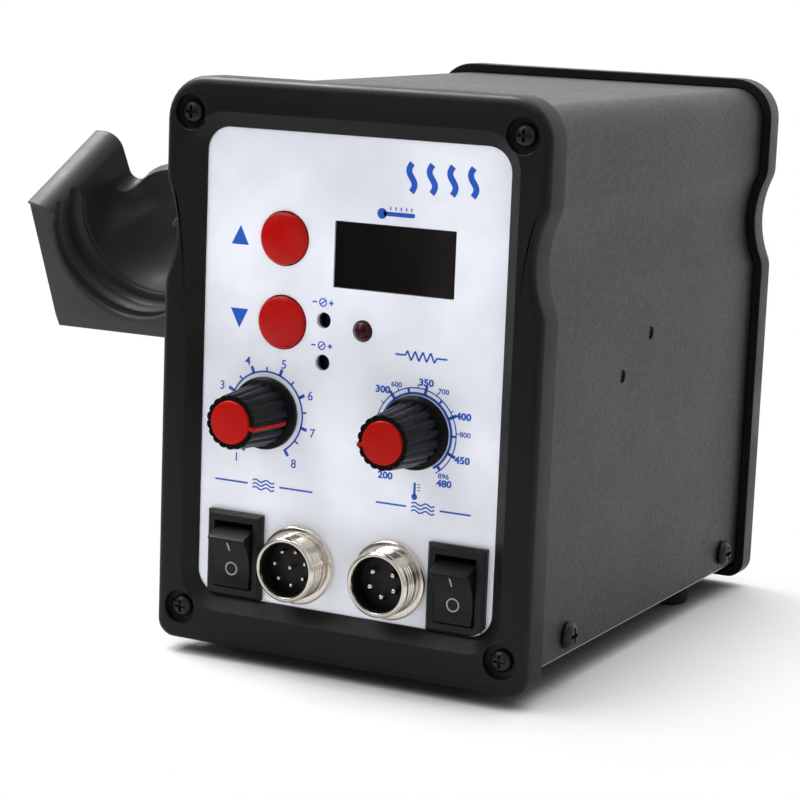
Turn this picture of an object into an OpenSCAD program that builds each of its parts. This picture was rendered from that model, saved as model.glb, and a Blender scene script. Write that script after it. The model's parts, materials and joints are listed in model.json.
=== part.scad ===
// Bench hot air rework station with a soldering iron channel.
// X is to the right, Y runs from the front face to the back, Z is up.
// Sizes below are in millimetres. Heights start at the lower edge of the two bezels and
// depths start at the front face of the front bezel.

/* [Housing] */
// Width across the bezels
bezel_w = 100; // [98:0.5:112]
// Height of the bezels
bezel_h = 137; // [135:0.5:150]
// Depth from the front bezel's face to the rear bezel's face
housing_d = 152; // [148:1:190]
// Radius of the two upper corners
top_corner_r = 10.5; // [9.5:0.5:12]
// Radius of the two lower corners
bottom_corner_r = 4.5; // [4:0.25:6]
// Radius rolled round the outer edge of each bezel's face
face_edge_r = 2; // [1:0.25:2.5]
// Distance of the middle of the finger waist below the top
waist_drop = 37.1; // [31:0.1:45]
// Depth of the finger waist
waist_depth = 2.85; // [1.5:0.05:2.9]
// Radius of the hollow of the finger waist
waist_r = 26; // [22:1:32]
// Radius that blends the waist into the flat side
waist_blend_r = 8; // [6:0.5:10]
// Depth of the front bezel's side band
front_band = 9; // [8:0.5:12]
// Depth of the rear bezel's side band
rear_band = 7.8; // [5:0.1:9]
// Width of the flat front ring of a bezel
ring_w = 7; // [6.5:0.1:7.5]
// Width of the sloped ring inside the flat one
slope_w = 3.3; // [2.5:0.1:3.6]
// Distance from the bezel's face down to the printed panel
face_recess = 3; // [2.5:0.1:3.5]
// Distance from the rear bezel's face in to the rear wall
rear_recess = 2.2; // [2:0.1:2.6]

/* [Sheet metal] */
// How far the cover lies inside the bezel outline
cover_inset = 2.5; // [2.4:0.1:3.2]
// Thickness of the cover sheet
cover_t = 1; // [0.8:0.1:1.2]
// Thickness of the chassis sheet
chassis_t = 1.2; // [1:0.1:1.6]
// Thickness of the printed front panel
panel_t = 1.2; // [0.8:0.1:1.6]
// Height of the chassis floor's underside above the bezels' lower edge
floor_lift = 3.5; // [3.2:0.1:4.5]
// Height of the turned-up sides of the chassis
flange_h = 12; // [11:0.5:16]
// Length of a vent slot
vent_length = 34; // [20:1:38]
// Width of a vent slot
vent_w = 2.6; // [2:0.1:3]
// Distance from one vent slot to the next
vent_pitch = 6; // [5:0.5:7]
// Number of vent slots in a row
vent_count = 7; // [4:1:8]

/* [Feet and screws] */
// Diameter of a rubber foot
foot_d = 12; // [10:0.5:14]
// How far the feet stand below the bezels
foot_drop = 3.5; // [2:0.25:6]
// Distance of a foot's centre from the middle plane
foot_x = 37; // [32:0.5:38]
// Distance of the front feet behind the front face
foot_front_y = 21; // [17:0.5:26]
// Distance of the rear feet before the rear face
foot_rear_y = 31; // [20:0.5:36]
// Distance of a bezel screw from the bezel's side
screw_edge_x = 6.85; // [6.6:0.05:7.2]
// Distance of an upper bezel screw below the top
screw_top_z = 8.6; // [8.2:0.1:9.2]
// Height of a lower bezel screw
screw_bottom_z = 8.2; // [7.6:0.1:9]
// Diameter of the counterbore round a bezel screw
counterbore_d = 8.4; // [7.6:0.1:8.6]
// Diameter of a bezel screw's head
bezel_head_d = 5.5; // [5:0.1:6.8]
// Diameter of a cover or holder screw's head
side_head_d = 6.8; // [5.6:0.1:7.4]
// Distance of the front cover screw behind the front face
cover_screw_front_y = 28.4; // [22:0.2:34]
// Distance of the rear cover screw before the rear face
cover_screw_rear_y = 19; // [16:0.2:24]
// Height of the cover screws
cover_screw_z = 9.1; // [8.8:0.1:10]

/* [Buttons] */
// Diameter of a red push button
button_d = 12.4; // [10:0.2:13]
// Distance of the buttons left of the middle
button_x = 18.3; // [16.4:0.1:20]
// Height of the up button
button_up_z = 100.3; // [98:0.1:102]
// Height of the down button
button_down_z = 80.5; // [79:0.1:83]
// How far a button stands out of the panel
button_proud = 1.8; // [1.2:0.1:3]
// Travel of a button
button_travel = 1; // [0.6:0.1:1.2]

/* [Display] */
// Distance of the display window's middle right of the middle plane
display_x = 10.7; // [9.5:0.1:11.5]
// Height of the display window's middle
display_z = 97.8; // [96:0.1:100]
// Width of the display window
display_w = 31.4; // [28:0.2:32]
// Height of the display window
display_h = 15.6; // [13:0.2:16.5]
// Distance of the heater lamp right of the middle plane
lamp_x = 3.2; // [2:0.1:5]
// Height of the heater lamp
lamp_z = 80.5; // [79:0.1:82]
// Diameter of the heater lamp
lamp_d = 5; // [4:0.1:5.2]
// Distance of the trimmer holes left of the middle plane
trimmer_x = 7.2; // [6.4:0.1:7.6]
// Height of the upper trimmer hole
trimmer_upper_z = 82; // [81:0.1:83]
// Height of the lower trimmer hole
trimmer_lower_z = 72; // [71.5:0.1:73]
// Diameter of a trimmer hole
trimmer_hole_d = 3.8; // [3:0.1:4.2]

/* [Knobs] */
// Distance of the left knob left of the middle plane
knob_left_x = 22; // [20:0.2:24]
// Distance of the right knob right of the middle plane
knob_right_x = 18; // [16:0.2:22]
// Height of the knob shafts
knob_z = 58.35; // [57:0.05:59]
// Diameter of a knob's skirt
knob_d = 17.4; // [16.4:0.2:19]
// Height of a knob above the panel
knob_h = 17; // [15:0.5:20]
// Diameter of a knob's fluted top
knob_top_d = 12.9; // [12:0.1:13.6]
// Number of flutes round a knob
flute_count = 18; // [14:1:20]
// Diameter of a knob's red cap
knob_cap_d = 10.3; // [9.4:0.1:10.8]
// Diameter of a potentiometer shaft
shaft_d = 6; // [5.6:0.1:6.2]
// Diameter of a potentiometer body
pot_d = 16.6; // [15:0.2:17.4]

/* [Rocker switches] */
// Distance of the left rocker left of the middle plane
rocker_left_x = 29; // [28.6:0.1:29.4]
// Distance of the right rocker right of the middle plane
rocker_right_x = 30.6; // [30:0.1:31]
// Height of the rockers' middle
rocker_z = 22.9; // [22.6:0.1:24]
// Width of a rocker's frame
rocker_w = 15; // [14:0.1:15.2]
// Height of a rocker's frame
rocker_h = 21; // [20:0.1:21.4]
// How far a rocker's frame stands out of the panel
rocker_proud = 2; // [1.6:0.1:2.4]
// Full swing of a rocker
rocker_swing = 24; // [16:1:25]

/* [Sockets] */
// Distance of the left socket left of the middle plane
socket_left_x = 11.8; // [11.6:0.1:11.8]
// Distance of the right socket right of the middle plane
socket_right_x = 12.9; // [11:0.1:13.2]
// Height of the sockets
socket_z = 22.7; // [22.4:0.1:24]
// Diameter of a socket's flange
socket_flange_d = 19; // [18:0.1:19]
// Diameter of a socket's threaded shell
socket_thread_d = 15.8; // [15:0.1:16.2]
// Bore of a socket's shell
socket_bore_d = 13.4; // [12.8:0.1:13.8]
// How far a socket stands out of the panel
socket_proud = 7.3; // [6:0.1:9]
// Pins on the ring of the left socket, round one middle pin
left_ring_pins = 7; // [6:1:8]
// Pins of the right socket
right_ring_pins = 5; // [4:1:5]
// Angle between the right socket's pins, with a wider gap at the top
right_pin_pitch = 65; // [60:1:72]

/* [Handle holder] */
// Width of the holder
holder_w = 49.5; // [48:0.5:54]
// Length of the holder along its cradle
holder_length = 33; // [31:0.5:38]
// Height of the holder's front face
holder_h = 36.3; // [35:0.1:42]
// Lean of the holder's front face, and upward tilt of its seat
holder_tilt = 22; // [18:1:26]
// How much steeper than the seat the lips climb to the back
lip_climb = 7; // [4:0.5:8]
// Distance of the holder's upper front edge behind the front face
holder_front_y = 11.5; // [11.2:0.1:18]
// Distance of the holder's upper front edge below the top of the bezels
holder_drop = 35.5; // [32:0.1:39]
// Radius of the round seat in the cradle
seat_r = 19.2; // [18.6:0.1:20]
// Depth of the round seat
seat_depth = 12; // [10.5:0.5:14]
// Depth of the two grooves round the seat
groove_depth = 1.5; // [0.6:0.1:2]
// Radius of the bowl behind the seat
bowl_r = 18.4; // [16:0.1:18.5]
// Depth of the axis of the seat below the holder's upper edge
seat_drop = 10.4; // [9.5:0.1:12]
// Width of a rolled lip along the top
lip_w = 7.5; // [6.5:0.1:8]
// Rounding of the mouth of the seat
mouth_round = 1.2; // [0.8:0.1:1.5]
// Thickness of the flange that is screwed to the cover
holder_flange_t = 3; // [2.4:0.1:4]
// Distance of the front holder screw behind the front face
holder_screw_y = 54.9; // [53:0.1:56]
// Distance of the front holder screw below the top of the bezels
holder_screw_drop = 69; // [68:0.1:71]
// Distance between the two holder screws
holder_screw_gap = 19.1; // [17:0.1:21]
// Slope of the line through the two holder screws
holder_screw_slope = 27.4; // [24:0.1:30]
// Diameter of the screw holes for the holder in the cover
holder_hole_d = 3.3; // [3.1:0.1:3.6]
// Diameter of the magnet under the cradle
magnet_d = 8; // [6:0.5:10]

/* [Inside] */
// Distance from the chassis front wall to the control board
board_gap = 9.6; // [9.2:0.1:11]
// Thickness of the circuit boards
board_t = 1.6; // [1.2:0.1:2]
// Height of the control board's lower edge
board_low_z = 68.6; // [68.2:0.1:69]
// Height of the control board
board_h = 50; // [48:0.5:52]
// Width of the control board
board_w = 76; // [74:0.5:78]
// Width of the transformer core
core_w = 57; // [54:0.5:60]
// Height of the transformer core
core_h = 47.5; // [45:0.5:50]
// Stack thickness of the transformer core
core_t = 26; // [22:0.5:30]
// Distance of the transformer's middle before the rear wall
transformer_back = 56; // [54:0.5:58]
// Width of the power board
power_board_w = 76; // [70:0.5:80]
// Distance from the power board to the transformer's winding
power_board_clear = 1; // [0.5:0.1:3]
// Distance of the power board's front edge behind the front face
power_board_y = 28; // [27:0.5:30]

/* [Mains inlet] */
// Distance of the inlet's middle right of the middle plane
inlet_x = 14; // [4:0.5:16]
// Height of the inlet's middle
inlet_z = 40; // [36:0.5:60]
// Width of the inlet's body
inlet_w = 27; // [26:0.2:29]
// Height of the inlet's body
inlet_h = 31; // [30:0.2:34]
// Depth of the inlet's body behind the rear wall
inlet_depth = 25; // [24.5:0.5:28]
// Travel of the fuse drawer
drawer_travel = 22; // [16:1:24]

/* [Hidden] */
$fn = 48;

// Colours, as the photograph shows them
bezel_black = "#26262a";
sheet_grey = "#4b494b";
panel_white = "#eef0f6";
steel = "#b9bbbd";
screw_black = "#1b1b1d";
rubber_black = "#161616";
red = "#c01810";
knob_black = "#17171a";
board_green = "#1f6b3a";
nickel = "#d8d2c4";
brass = "#c9a85a";

// Clearances
play = 0.3;
running_play = 0.05;
sheet_gap = 0.2;
cut = 1;

// Places that follow from the sizes above
half_w = bezel_w / 2;
waist_z = bezel_h - waist_drop;
holder_top_z = bezel_h - holder_drop;
holder_screw_z = bezel_h - holder_screw_drop;
cover_x = half_w - cover_inset;
opening_x = half_w - ring_w - slope_w;
ring_low_z = 8.6;
ring_high = 8;
opening_low_z = ring_low_z + slope_w + 0.3;
opening_high_z = bezel_h - ring_high - slope_w - 0.3;
opening_r = 6;
wall_y = face_recess + panel_t;
wall_back_y = wall_y + chassis_t;
rear_wall_y = housing_d - rear_recess - chassis_t;
wall_inset = cover_inset + cover_t + sheet_gap;
floor_top_z = floor_lift + chassis_t;
screw_x = half_w - screw_edge_x;
screw_high_z = bezel_h - screw_top_z;
board_y = wall_back_y + board_gap;
holder_x = -cover_x - holder_w;
holder_hole_y2 = holder_screw_y + holder_screw_gap * cos(holder_screw_slope);
holder_hole_z2 = holder_screw_z + holder_screw_gap * sin(holder_screw_slope);
// The middle of the whole object in X and Y stands over the origin
centre_x = (half_w + holder_x) / 2;
centre_y = (housing_d + face_recess - knob_h) / 2;

module placed() translate([-centre_x, -centre_y, foot_drop]) children();

// Points on an arc round c, from angle a0 to a1 in n steps, leaving out the first few
function arc(c, r, a0, a1, n, skip = 0) =
    [for (i = [skip:n]) let (a = a0 + (a1 - a0) * i / n) [c[0] + r * cos(a), c[1] + r * sin(a)]];
// The left half mirrors the right one
function both_halves(half) =
    concat(half, [for (i = [len(half) - 1:-1:0]) [-half[i][0], half[i][1]]]);

// Housing outline moved inwards by d, with the finger waist in both sides
waist_reach = sqrt(pow(waist_r + waist_blend_r, 2) - pow(waist_r - waist_depth + waist_blend_r, 2));
waist_angle = atan2(waist_reach, waist_r - waist_depth + waist_blend_r);
corner_steps = 9;
blend_steps = 5;
hollow_steps = 12;
function outline(d) = let (
    low = max(bottom_corner_r - d, 0.3),
    blend = [half_w - waist_blend_r, waist_reach],
    hollow = [half_w + waist_r - waist_depth, waist_z]
) both_halves(concat(
    arc([half_w - d - low, d + low], low, -90, 0, corner_steps),
    arc([blend[0], waist_z - blend[1]], waist_blend_r - d, 0, waist_angle, blend_steps),
    arc(hollow, waist_r + d, 180 + waist_angle, 180 - waist_angle, hollow_steps, 1),
    arc([blend[0], waist_z + blend[1]], waist_blend_r - d, -waist_angle, 0, blend_steps, 1),
    arc([half_w - top_corner_r, bezel_h - top_corner_r], top_corner_r - d, 0, 90, corner_steps)));
// Rounded rectangle with as many points as the housing outline
side_points = 2 * blend_steps + hollow_steps + 1;
function window(x, z0, z1, r) = both_halves(concat(
    arc([x - r, z0 + r], r, -90, 0, corner_steps),
    [for (i = [1:side_points]) [x, z0 + r + (z1 - z0 - 2 * r) * i / (side_points + 1)]],
    arc([x - r, z1 - r], r, 0, 90, corner_steps)));

// Closed band through rings of points, where each ring is [outline, depth]
module ring_loft(rings) {
    n = len(rings[0][0]);
    m = len(rings);
    points = [for (ring = rings) for (p = ring[0]) [p[0], ring[1], p[1]]];
    faces = [for (i = [0:m - 1]) for (j = [0:n - 1]) let (
        a = i * n + j, b = i * n + (j + 1) % n,
        c = ((i + 1) % m) * n + j, e = ((i + 1) % m) * n + (j + 1) % n
    ) each [[a, c, e], [a, e, b]]];
    polyhedron(points, faces);
}

module along_y(y0, length) translate([0, y0 + length, 0]) rotate([90, 0, 0])
    linear_extrude(length) children();
module hole_y(x, z, r, y0, y1) translate([x, y1, z]) rotate([90, 0, 0]) cylinder(r = r, h = y1 - y0);
module facing_front(x, y, z) translate([x, y, z]) rotate([90, 0, 0]) children();
module facing_back(x, y, z) translate([x, y, z]) rotate([-90, 0, 0]) children();
module bezel_screw_places() for (x = [-screw_x, screw_x], z = [screw_bottom_z, screw_high_z])
    translate([x, 0, z]) children();
module rounded_box_2d(w, h, r) {
    square([w - 2 * r, h], center = true);
    square([w, h - 2 * r], center = true);
    for (x = [-1, 1], y = [-1, 1]) translate([x * (w / 2 - r), y * (h / 2 - r)]) circle(r);
}
// Block whose front edges are bevelled all round; its back lies at z = 0
module bevelled_block(w, h, t, bevel) intersection() {
    translate([0, h / 2, 0]) rotate([90, 0, 0]) linear_extrude(h) polygon([
        [-w / 2, 0], [w / 2, 0], [w / 2, t - bevel], [w / 2 - bevel, t], [bevel - w / 2, t],
        [-w / 2, t - bevel]]);
    translate([-w / 2, 0, 0]) rotate([90, 0, 90]) linear_extrude(w) polygon([
        [-h / 2, 0], [h / 2, 0], [h / 2, t - bevel], [h / 2 - bevel, t], [bevel - h / 2, t],
        [-h / 2, t - bevel]]);
}
// Cross-head pan screw standing on z = 0, with its shank below
module pan_screw(head_d, shank_d, length) {
    head_h = head_d * 0.34;
    recess = head_d * 0.56;
    slot = head_d * 0.13;
    difference() {
        rotate_extrude() polygon(concat([[0, 0]],
            [for (i = [0:4]) [head_d / 2 * cos(i * 16), head_h * (0.25 + 0.75 * sin(i * 16) / sin(64))]],
            [[0, head_h]]));
        for (a = [0, 90]) rotate(a) translate([-recess / 2, -slot / 2, head_h * 0.45])
            cube([recess, slot, head_h]);
    }
    translate([0, 0, -length]) cylinder(d = shank_d, h = length + head_h * 0.2);
}

// Moulded frame at each end of the housing, as seen from outside with its face at depth 0
module bezel_frame(band, recess, pocket) {
    pocket_x = opening_x + panel_lap + sheet_gap;
    rings = concat(
        [[outline(0), band]],
        [for (i = [0:4]) let (a = 90 * i / 4)
            [outline(face_edge_r * (1 - cos(a))), face_edge_r * (1 - sin(a))]],
        [[window(half_w - ring_w, ring_low_z, bezel_h - ring_high, opening_r + slope_w), 0],
         [window(opening_x, opening_low_z, opening_high_z, opening_r), recess - 0.4],
         [window(opening_x, opening_low_z, opening_high_z, opening_r), recess]],
        pocket > 0 ? [
            [window(pocket_x, panel_low_z - sheet_gap, panel_high_z + sheet_gap, panel_r), recess],
            [window(pocket_x, panel_low_z - sheet_gap, panel_high_z + sheet_gap, panel_r),
                recess + pocket]] : [],
        [[outline(cover_inset - sheet_gap), recess + pocket],
         [outline(cover_inset - sheet_gap), band]]);
    difference() {
        ring_loft(rings);
        bezel_screw_places() {
            hole_y(0, 0, counterbore_d / 2, -cut, recess * bezel_screw_seat);
            hole_y(0, 0, screw_clear_r, -cut, recess + pocket + cut);
        }
    }
}
panel_lap = 2.3;
panel_r = opening_r + panel_lap;
panel_low_z = opening_low_z - panel_lap;
panel_high_z = opening_high_z + panel_lap;
screw_clear_r = 1.7;
screw_shank_d = 3;
bezel_screw_seat = 0.66;
front_screw_length = front_band - face_recess * bezel_screw_seat - 1;
rear_screw_length = rear_band - rear_recess * bezel_screw_seat - 0.2;

module front_bezel() placed() color(bezel_black) bezel_frame(front_band, face_recess, panel_t);
module rear_bezel() placed() color(bezel_black) translate([0, housing_d, 0]) mirror([0, 1, 0])
    bezel_frame(rear_band, rear_recess, 0);

// Holes for everything that comes through the front, each grown by g
module control_holes(g) {
    for (z = [button_up_z, button_down_z])
        translate([-button_x, z]) circle(d = button_d + 2 * play + 2 * g);
    translate([lamp_x, lamp_z]) circle(d = lamp_d + 2 * running_play + 2 * g);
    for (z = [trimmer_upper_z, trimmer_lower_z])
        translate([-trimmer_x, z]) circle(d = trimmer_hole_d + 2 * g);
    for (x = [-knob_left_x, knob_right_x]) translate([x, knob_z]) circle(d = bush_d + 0.2 + 2 * g);
    for (x = [-rocker_left_x, rocker_right_x]) translate([x, rocker_z])
        square([switch_body_w + 0.3 + 2 * g, switch_body_h + 0.3 + 2 * g], center = true);
    for (x = [-socket_left_x, socket_right_x]) translate([x, socket_z])
        circle(d = socket_neck_d + 0.2 + 2 * g);
}
bush_d = 7;
switch_body_w = rocker_w - 2.2;
switch_body_h = rocker_h - 2.2;
socket_neck_d = 15.2;

module front_panel() placed() color(panel_white) along_y(face_recess, panel_t) difference() {
    polygon(window(opening_x + panel_lap, panel_low_z, panel_high_z, panel_r));
    control_holes(0);
    translate([display_x, display_z]) square([display_w, display_h], center = true);
}

module wall_outline() intersection() {
    polygon(outline(wall_inset));
    translate([-half_w, floor_lift]) square([bezel_w, bezel_h]);
}
module screw_holes_2d(r) for (x = [-screw_x, screw_x], z = [screw_bottom_z, screw_high_z])
    translate([x, z]) circle(r);
// One bent sheet: front wall, floor with turned-up sides, and rear wall
module chassis() placed() color(steel) {
    side_y0 = front_band + 4;
    side_y1 = housing_d - rear_band - 4;
    flange_x = cover_x - cover_t - sheet_gap;
    along_y(wall_y, chassis_t) difference() {
        wall_outline();
        control_holes(0.2);
        translate([display_x, display_z]) square([display_w - 3, display_h - 3], center = true);
        screw_holes_2d(screw_shank_d / 2 + running_play);
        for (x = board_screw_x, z = board_screw_z) translate([x, z]) circle(d = board_screw_d + 0.1);
    }
    translate([0, 0, floor_lift]) linear_extrude(chassis_t) difference() {
        translate([-flange_x, wall_y]) square([2 * flange_x, rear_wall_y + chassis_t - wall_y]);
        foot_places_2d() circle(d = foot_screw_d + 0.1);
        translate([0, power_board_y + power_board_d / 2]) vent_row();
        transformer_ear_places() circle(d = 3.1);
        power_standoff_places() circle(d = board_screw_d + 0.1);
    }
    for (side = [-1, 1]) difference() {
        translate([side > 0 ? flange_x - chassis_t : -flange_x, side_y0, floor_lift])
            cube([chassis_t, side_y1 - side_y0, flange_h]);
        cover_screw_places() translate([-cut, 0, 0]) rotate([0, 90, 0])
            translate([0, 0, -bezel_w]) cylinder(d = screw_shank_d + 0.1, h = 2 * bezel_w);
    }
    along_y(rear_wall_y, chassis_t) difference() {
        wall_outline();
        screw_holes_2d(screw_shank_d / 2 + running_play);
        translate([inlet_x, inlet_z])
            square([inlet_w + 2 * sheet_gap, inlet_h + 2 * sheet_gap], center = true);
        translate([0, rear_vent_z]) vent_row();
    }
}
rear_vent_drop = 37;
rear_vent_z = bezel_h - rear_vent_drop;
module vent_row() for (i = [0:vent_count - 1]) translate([(i - (vent_count - 1) / 2) * vent_pitch, 0])
    rounded_box_2d(vent_w, vent_length, vent_w / 2 - 0.01);
module foot_places_2d() for (x = [-foot_x, foot_x], y = [foot_front_y, housing_d - foot_rear_y])
    translate([x, y]) children();
module cover_screw_places() for (y = [cover_screw_front_y, housing_d - cover_screw_rear_y])
    translate([0, y, cover_screw_z]) children();
module holder_screw_places() for (p = [[holder_screw_y, holder_screw_z], [holder_hole_y2, holder_hole_z2]])
    translate([0, p[0], p[1]]) children();

// Folded cover: two sides and the top, tucked into both bezels
cover_y0 = wall_back_y + sheet_gap;
cover_y1 = rear_wall_y - sheet_gap;
module cover() placed() color(sheet_grey) difference() {
    along_y(cover_y0, cover_y1 - cover_y0) difference() {
        polygon(outline(cover_inset));
        polygon(outline(cover_inset + cover_t));
        translate([-half_w, -cut]) square([bezel_w, cover_low_z + cut]);
    }
    translate([-half_w - cut, 0, 0]) {
        cover_screw_places() rotate([0, 90, 0]) cylinder(d = screw_shank_d + 0.4, h = bezel_w + 2 * cut);
        holder_screw_places() rotate([0, 90, 0]) cylinder(d = holder_hole_d, h = bezel_w + 2 * cut);
    }
}
cover_low_z = 4.6;
cover_screw_length = 6;

module cover_screws() placed() color(screw_black) cover_screw_places() for (side = [-1, 1])
    translate([side * cover_x, 0, 0]) rotate([0, side * 90, 0])
        pan_screw(side_head_d, screw_shank_d, cover_screw_length);
module front_bezel_screws() placed() color(screw_black) bezel_screw_places()
    facing_front(0, face_recess * bezel_screw_seat, 0)
        pan_screw(bezel_head_d, screw_shank_d, front_screw_length);
module rear_bezel_screws() placed() color(screw_black) bezel_screw_places()
    facing_back(0, housing_d - rear_recess * bezel_screw_seat, 0)
        pan_screw(bezel_head_d * 0.9, screw_shank_d, rear_screw_length);

foot_h = foot_drop + floor_lift;
foot_screw_d = 3;
floor_head_d = 5.6;
foot_seat = 2;
module foot_places() for (x = [-foot_x, foot_x], y = [foot_front_y, housing_d - foot_rear_y])
    translate([x, y, floor_lift]) children();
module feet() placed() color(rubber_black) foot_places() rotate_extrude() polygon([
    [foot_screw_d / 2 + 0.1, 0], [foot_d / 2, 0], [foot_d / 2, -foot_h * 0.5],
    [foot_d / 2 - 0.5, 0.6 - foot_h], [foot_d / 2 - 1.1, -foot_h], [3.6, -foot_h],
    [3.6, -foot_seat], [foot_screw_d / 2 + 0.1, -foot_seat]]);
module foot_screws() placed() color(steel) foot_places() translate([0, 0, -foot_seat])
    rotate([180, 0, 0]) pan_screw(floor_head_d, foot_screw_d, foot_seat + chassis_t + 2);

// Handle holder. Its own frame starts at the upper front edge of its outer side:
// x runs to the housing, y along the seat and z up its front face.
lip_rise = 1.6;
lip_r = 4.6;
lip_edge_r = 0.8;
lip_overhang = 2.8;
lip_outer_overhang = 0.8;
lip_end_h = 2;
lip_lean = 30;
flank_l = 11.6;
notch_r = 2.4;
hump_angle = 44;
seat_axis_z = -seat_drop;
saddle_r = 9;
back_wall_t = 2.6;
side_relief = 0.2;
front_r = seat_r - 0.3;
bowl_round = 9;
body_tilt = holder_tilt + lip_climb;
module in_holder(tilt) translate([holder_x, holder_front_y, holder_top_z]) rotate([tilt, 0, 0])
    children();
function lip_points() = concat(
    arc([lip_edge_r, lip_rise - lip_edge_r], lip_edge_r, 180, 90, 3),
    arc([lip_w - lip_r, lip_rise - lip_r], lip_r, 90, 0, 8),
    arc([lip_w + notch_r, lip_rise - flank_l], notch_r, 180, 270 + hump_angle, 8));
function mirrored(points) = [for (i = [len(points) - 1:-1:0]) [holder_w - points[i][0], points[i][1]]];
// Cross-section: two rolled lips with a low hump between them, each in a smooth line
hump_half = holder_w / 2 - lip_w - notch_r * (1 + sin(hump_angle));
hump_r = hump_half / sin(hump_angle);
hump_z = lip_rise - flank_l + hump_r - (notch_r + hump_r) * cos(hump_angle);
module holder_profile() polygon(concat(
    [[0, -holder_h - lip_overhang]], lip_points(),
    arc([holder_w / 2, hump_z - hump_r], hump_r, 90 + hump_angle, 90 - hump_angle, 12, 1),
    mirrored(lip_points()), [[holder_w, -holder_h - lip_overhang]]));
// Seat with a rounded mouth, a groove, a crowned land and a second groove, then a ridge and the bowl
land_front = 3.8;
land_back = seat_depth - 5;
land_fall = 0.8;
ridge_t = 0.7;
function seat_groove(y0, y1) = [for (a = [0:30:180])
    [seat_r + 0.3 + groove_depth * sin(a), y0 + (y1 - y0) * (1 - cos(a)) / 2]];
module cradle_hollow() translate([holder_w / 2, 0, seat_axis_z]) rotate([-90, 0, 0]) rotate_extrude()
    polygon(concat([[0, -9], [front_r, -9], [front_r, -0.05]],
        [for (a = [0:22.5:90])
            [seat_r + 0.3 + mouth_round * (1 - sin(a)), mouth_round * (1 - cos(a)) - 0.05]],
        seat_groove(mouth_round + 0.1, land_front),
        [[seat_r, land_front + land_fall], [seat_r, land_back - land_fall]],
        seat_groove(land_back, seat_depth - ridge_t),
        [[bowl_r + 0.2, seat_depth], [bowl_r + 0.2, seat_depth + 0.3], [bowl_r + 0.6, seat_depth + 0.6],
         [bowl_r, seat_depth + 1.2]],
        arc([bowl_r - bowl_round, holder_length - back_wall_t - bowl_round], bowl_round, 0, 90, 9),
        [[0, holder_length - back_wall_t]]));
// What is cut off the ends of the lips, so that they lean out over the front face like hoods
module hood_cut() for (side = [0, 1]) translate([side * holder_w, 0, lip_rise]) mirror([side, 0, 0])
    rotate([lip_lean, 0, 0]) translate([0, 0, -2 * lip_rise - 2 * lip_end_h])
        linear_extrude(4 * lip_rise + 2 * lip_end_h) polygon([
            [-cut, -lip_outer_overhang], [0, -lip_outer_overhang], [lip_w + cut, -lip_overhang],
            [lip_w + cut, -4 * lip_overhang], [-cut, -4 * lip_overhang]]);
// Rounds the inner edge of the low back wall between the lips
module saddle_cut() translate([lip_w, 0, 0]) rotate([90, 0, 90]) linear_extrude(holder_w - 2 * lip_w)
    polygon(concat(arc([holder_length - back_wall_t / 2, hump_z - saddle_r], saddle_r, 90, 160, 8),
        [[seat_depth, hump_z - saddle_r], [seat_depth, lip_rise],
            [holder_length - back_wall_t / 2, lip_rise]]));
module handle_holder() placed() color("#5a5858") difference() {
    union() {
        difference() {
            in_holder(body_tilt) difference() {
                along_y(-lip_overhang - cut, holder_length + lip_overhang + cut) holder_profile();
                saddle_cut();
                hood_cut();
            }
            in_holder(holder_tilt) {
                translate([-cut, -3 * holder_h, -3 * holder_h - lip_end_h])
                    cube([holder_w + 2 * cut, 3 * holder_h, 3 * holder_h]);
                translate([-cut, -cut, holder_low_z - holder_h])
                    cube([holder_w + 2 * cut, 2 * holder_length, holder_h]);
                translate([holder_w - side_relief, -holder_length, -2 * holder_h])
                    cube([cut, 3 * holder_length, 3 * holder_h]);
            }
        }
        holder_flange();
    }
    in_holder(holder_tilt) cradle_hollow();
    translate([-cover_x - holder_flange_t - cut, 0, 0]) holder_screw_places()
        rotate([0, 90, 0]) cylinder(d = holder_hole_d, h = holder_flange_t + 2 * cut);
    in_holder(holder_tilt) translate([holder_w / 2, magnet_y, holder_low_z - cut])
        cylinder(d = magnet_d + 2 * running_play, h = magnet_t + cut);
}
holder_low_z = lip_rise - holder_h;
// Flange along the cover with two gussets under the cradle
flange_edge = 7;
module holder_flange() {
    local = [for (p = [[holder_screw_y, holder_screw_z], [holder_hole_y2, holder_hole_z2]]) let (
        dy = p[0] - holder_front_y, dz = p[1] - holder_top_z
    ) [dy * cos(holder_tilt) + dz * sin(holder_tilt), dz * cos(holder_tilt) - dy * sin(holder_tilt)]];
    low = min(local[0][1], local[1][1]) - flange_edge;
    front = local[0][0] - flange_edge;
    back = local[1][0] + flange_edge;
    in_holder(holder_tilt) {
        translate([holder_w - holder_flange_t, 0, 0]) rotate([90, 0, 90]) linear_extrude(holder_flange_t)
            polygon(concat([[front - 6, holder_low_z + cut]], arc([front + 3, low + 3], 3, 180, 270, 4),
                arc([back - 4, low + 4], 4, -90, 0, 4), [[back, holder_low_z],
                [holder_length, -seat_drop - 8], [holder_length - 4, holder_low_z + 6]]));
        for (y = [front + 1, holder_length - 5]) translate([holder_w - holder_flange_t, y + 2.4, 0])
            rotate([90, 0, 0]) linear_extrude(2.4) polygon([
                [0.5, holder_low_z + 0.5], [0.5, holder_low_z - 7], [-9, holder_low_z + 0.5]]);
    }
}
magnet_t = 3;
magnet_y = 18;
module holder_magnet() placed() color(nickel) in_holder(holder_tilt)
    translate([holder_w / 2, magnet_y, holder_low_z]) cylinder(d = magnet_d, h = magnet_t);
module holder_screws() placed() color(screw_black) holder_screw_places()
    translate([-cover_x - holder_flange_t, 0, 0]) rotate([0, -90, 0])
        pan_screw(side_head_d, screw_shank_d, holder_flange_t + cover_t + nut_t + 1);
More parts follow.
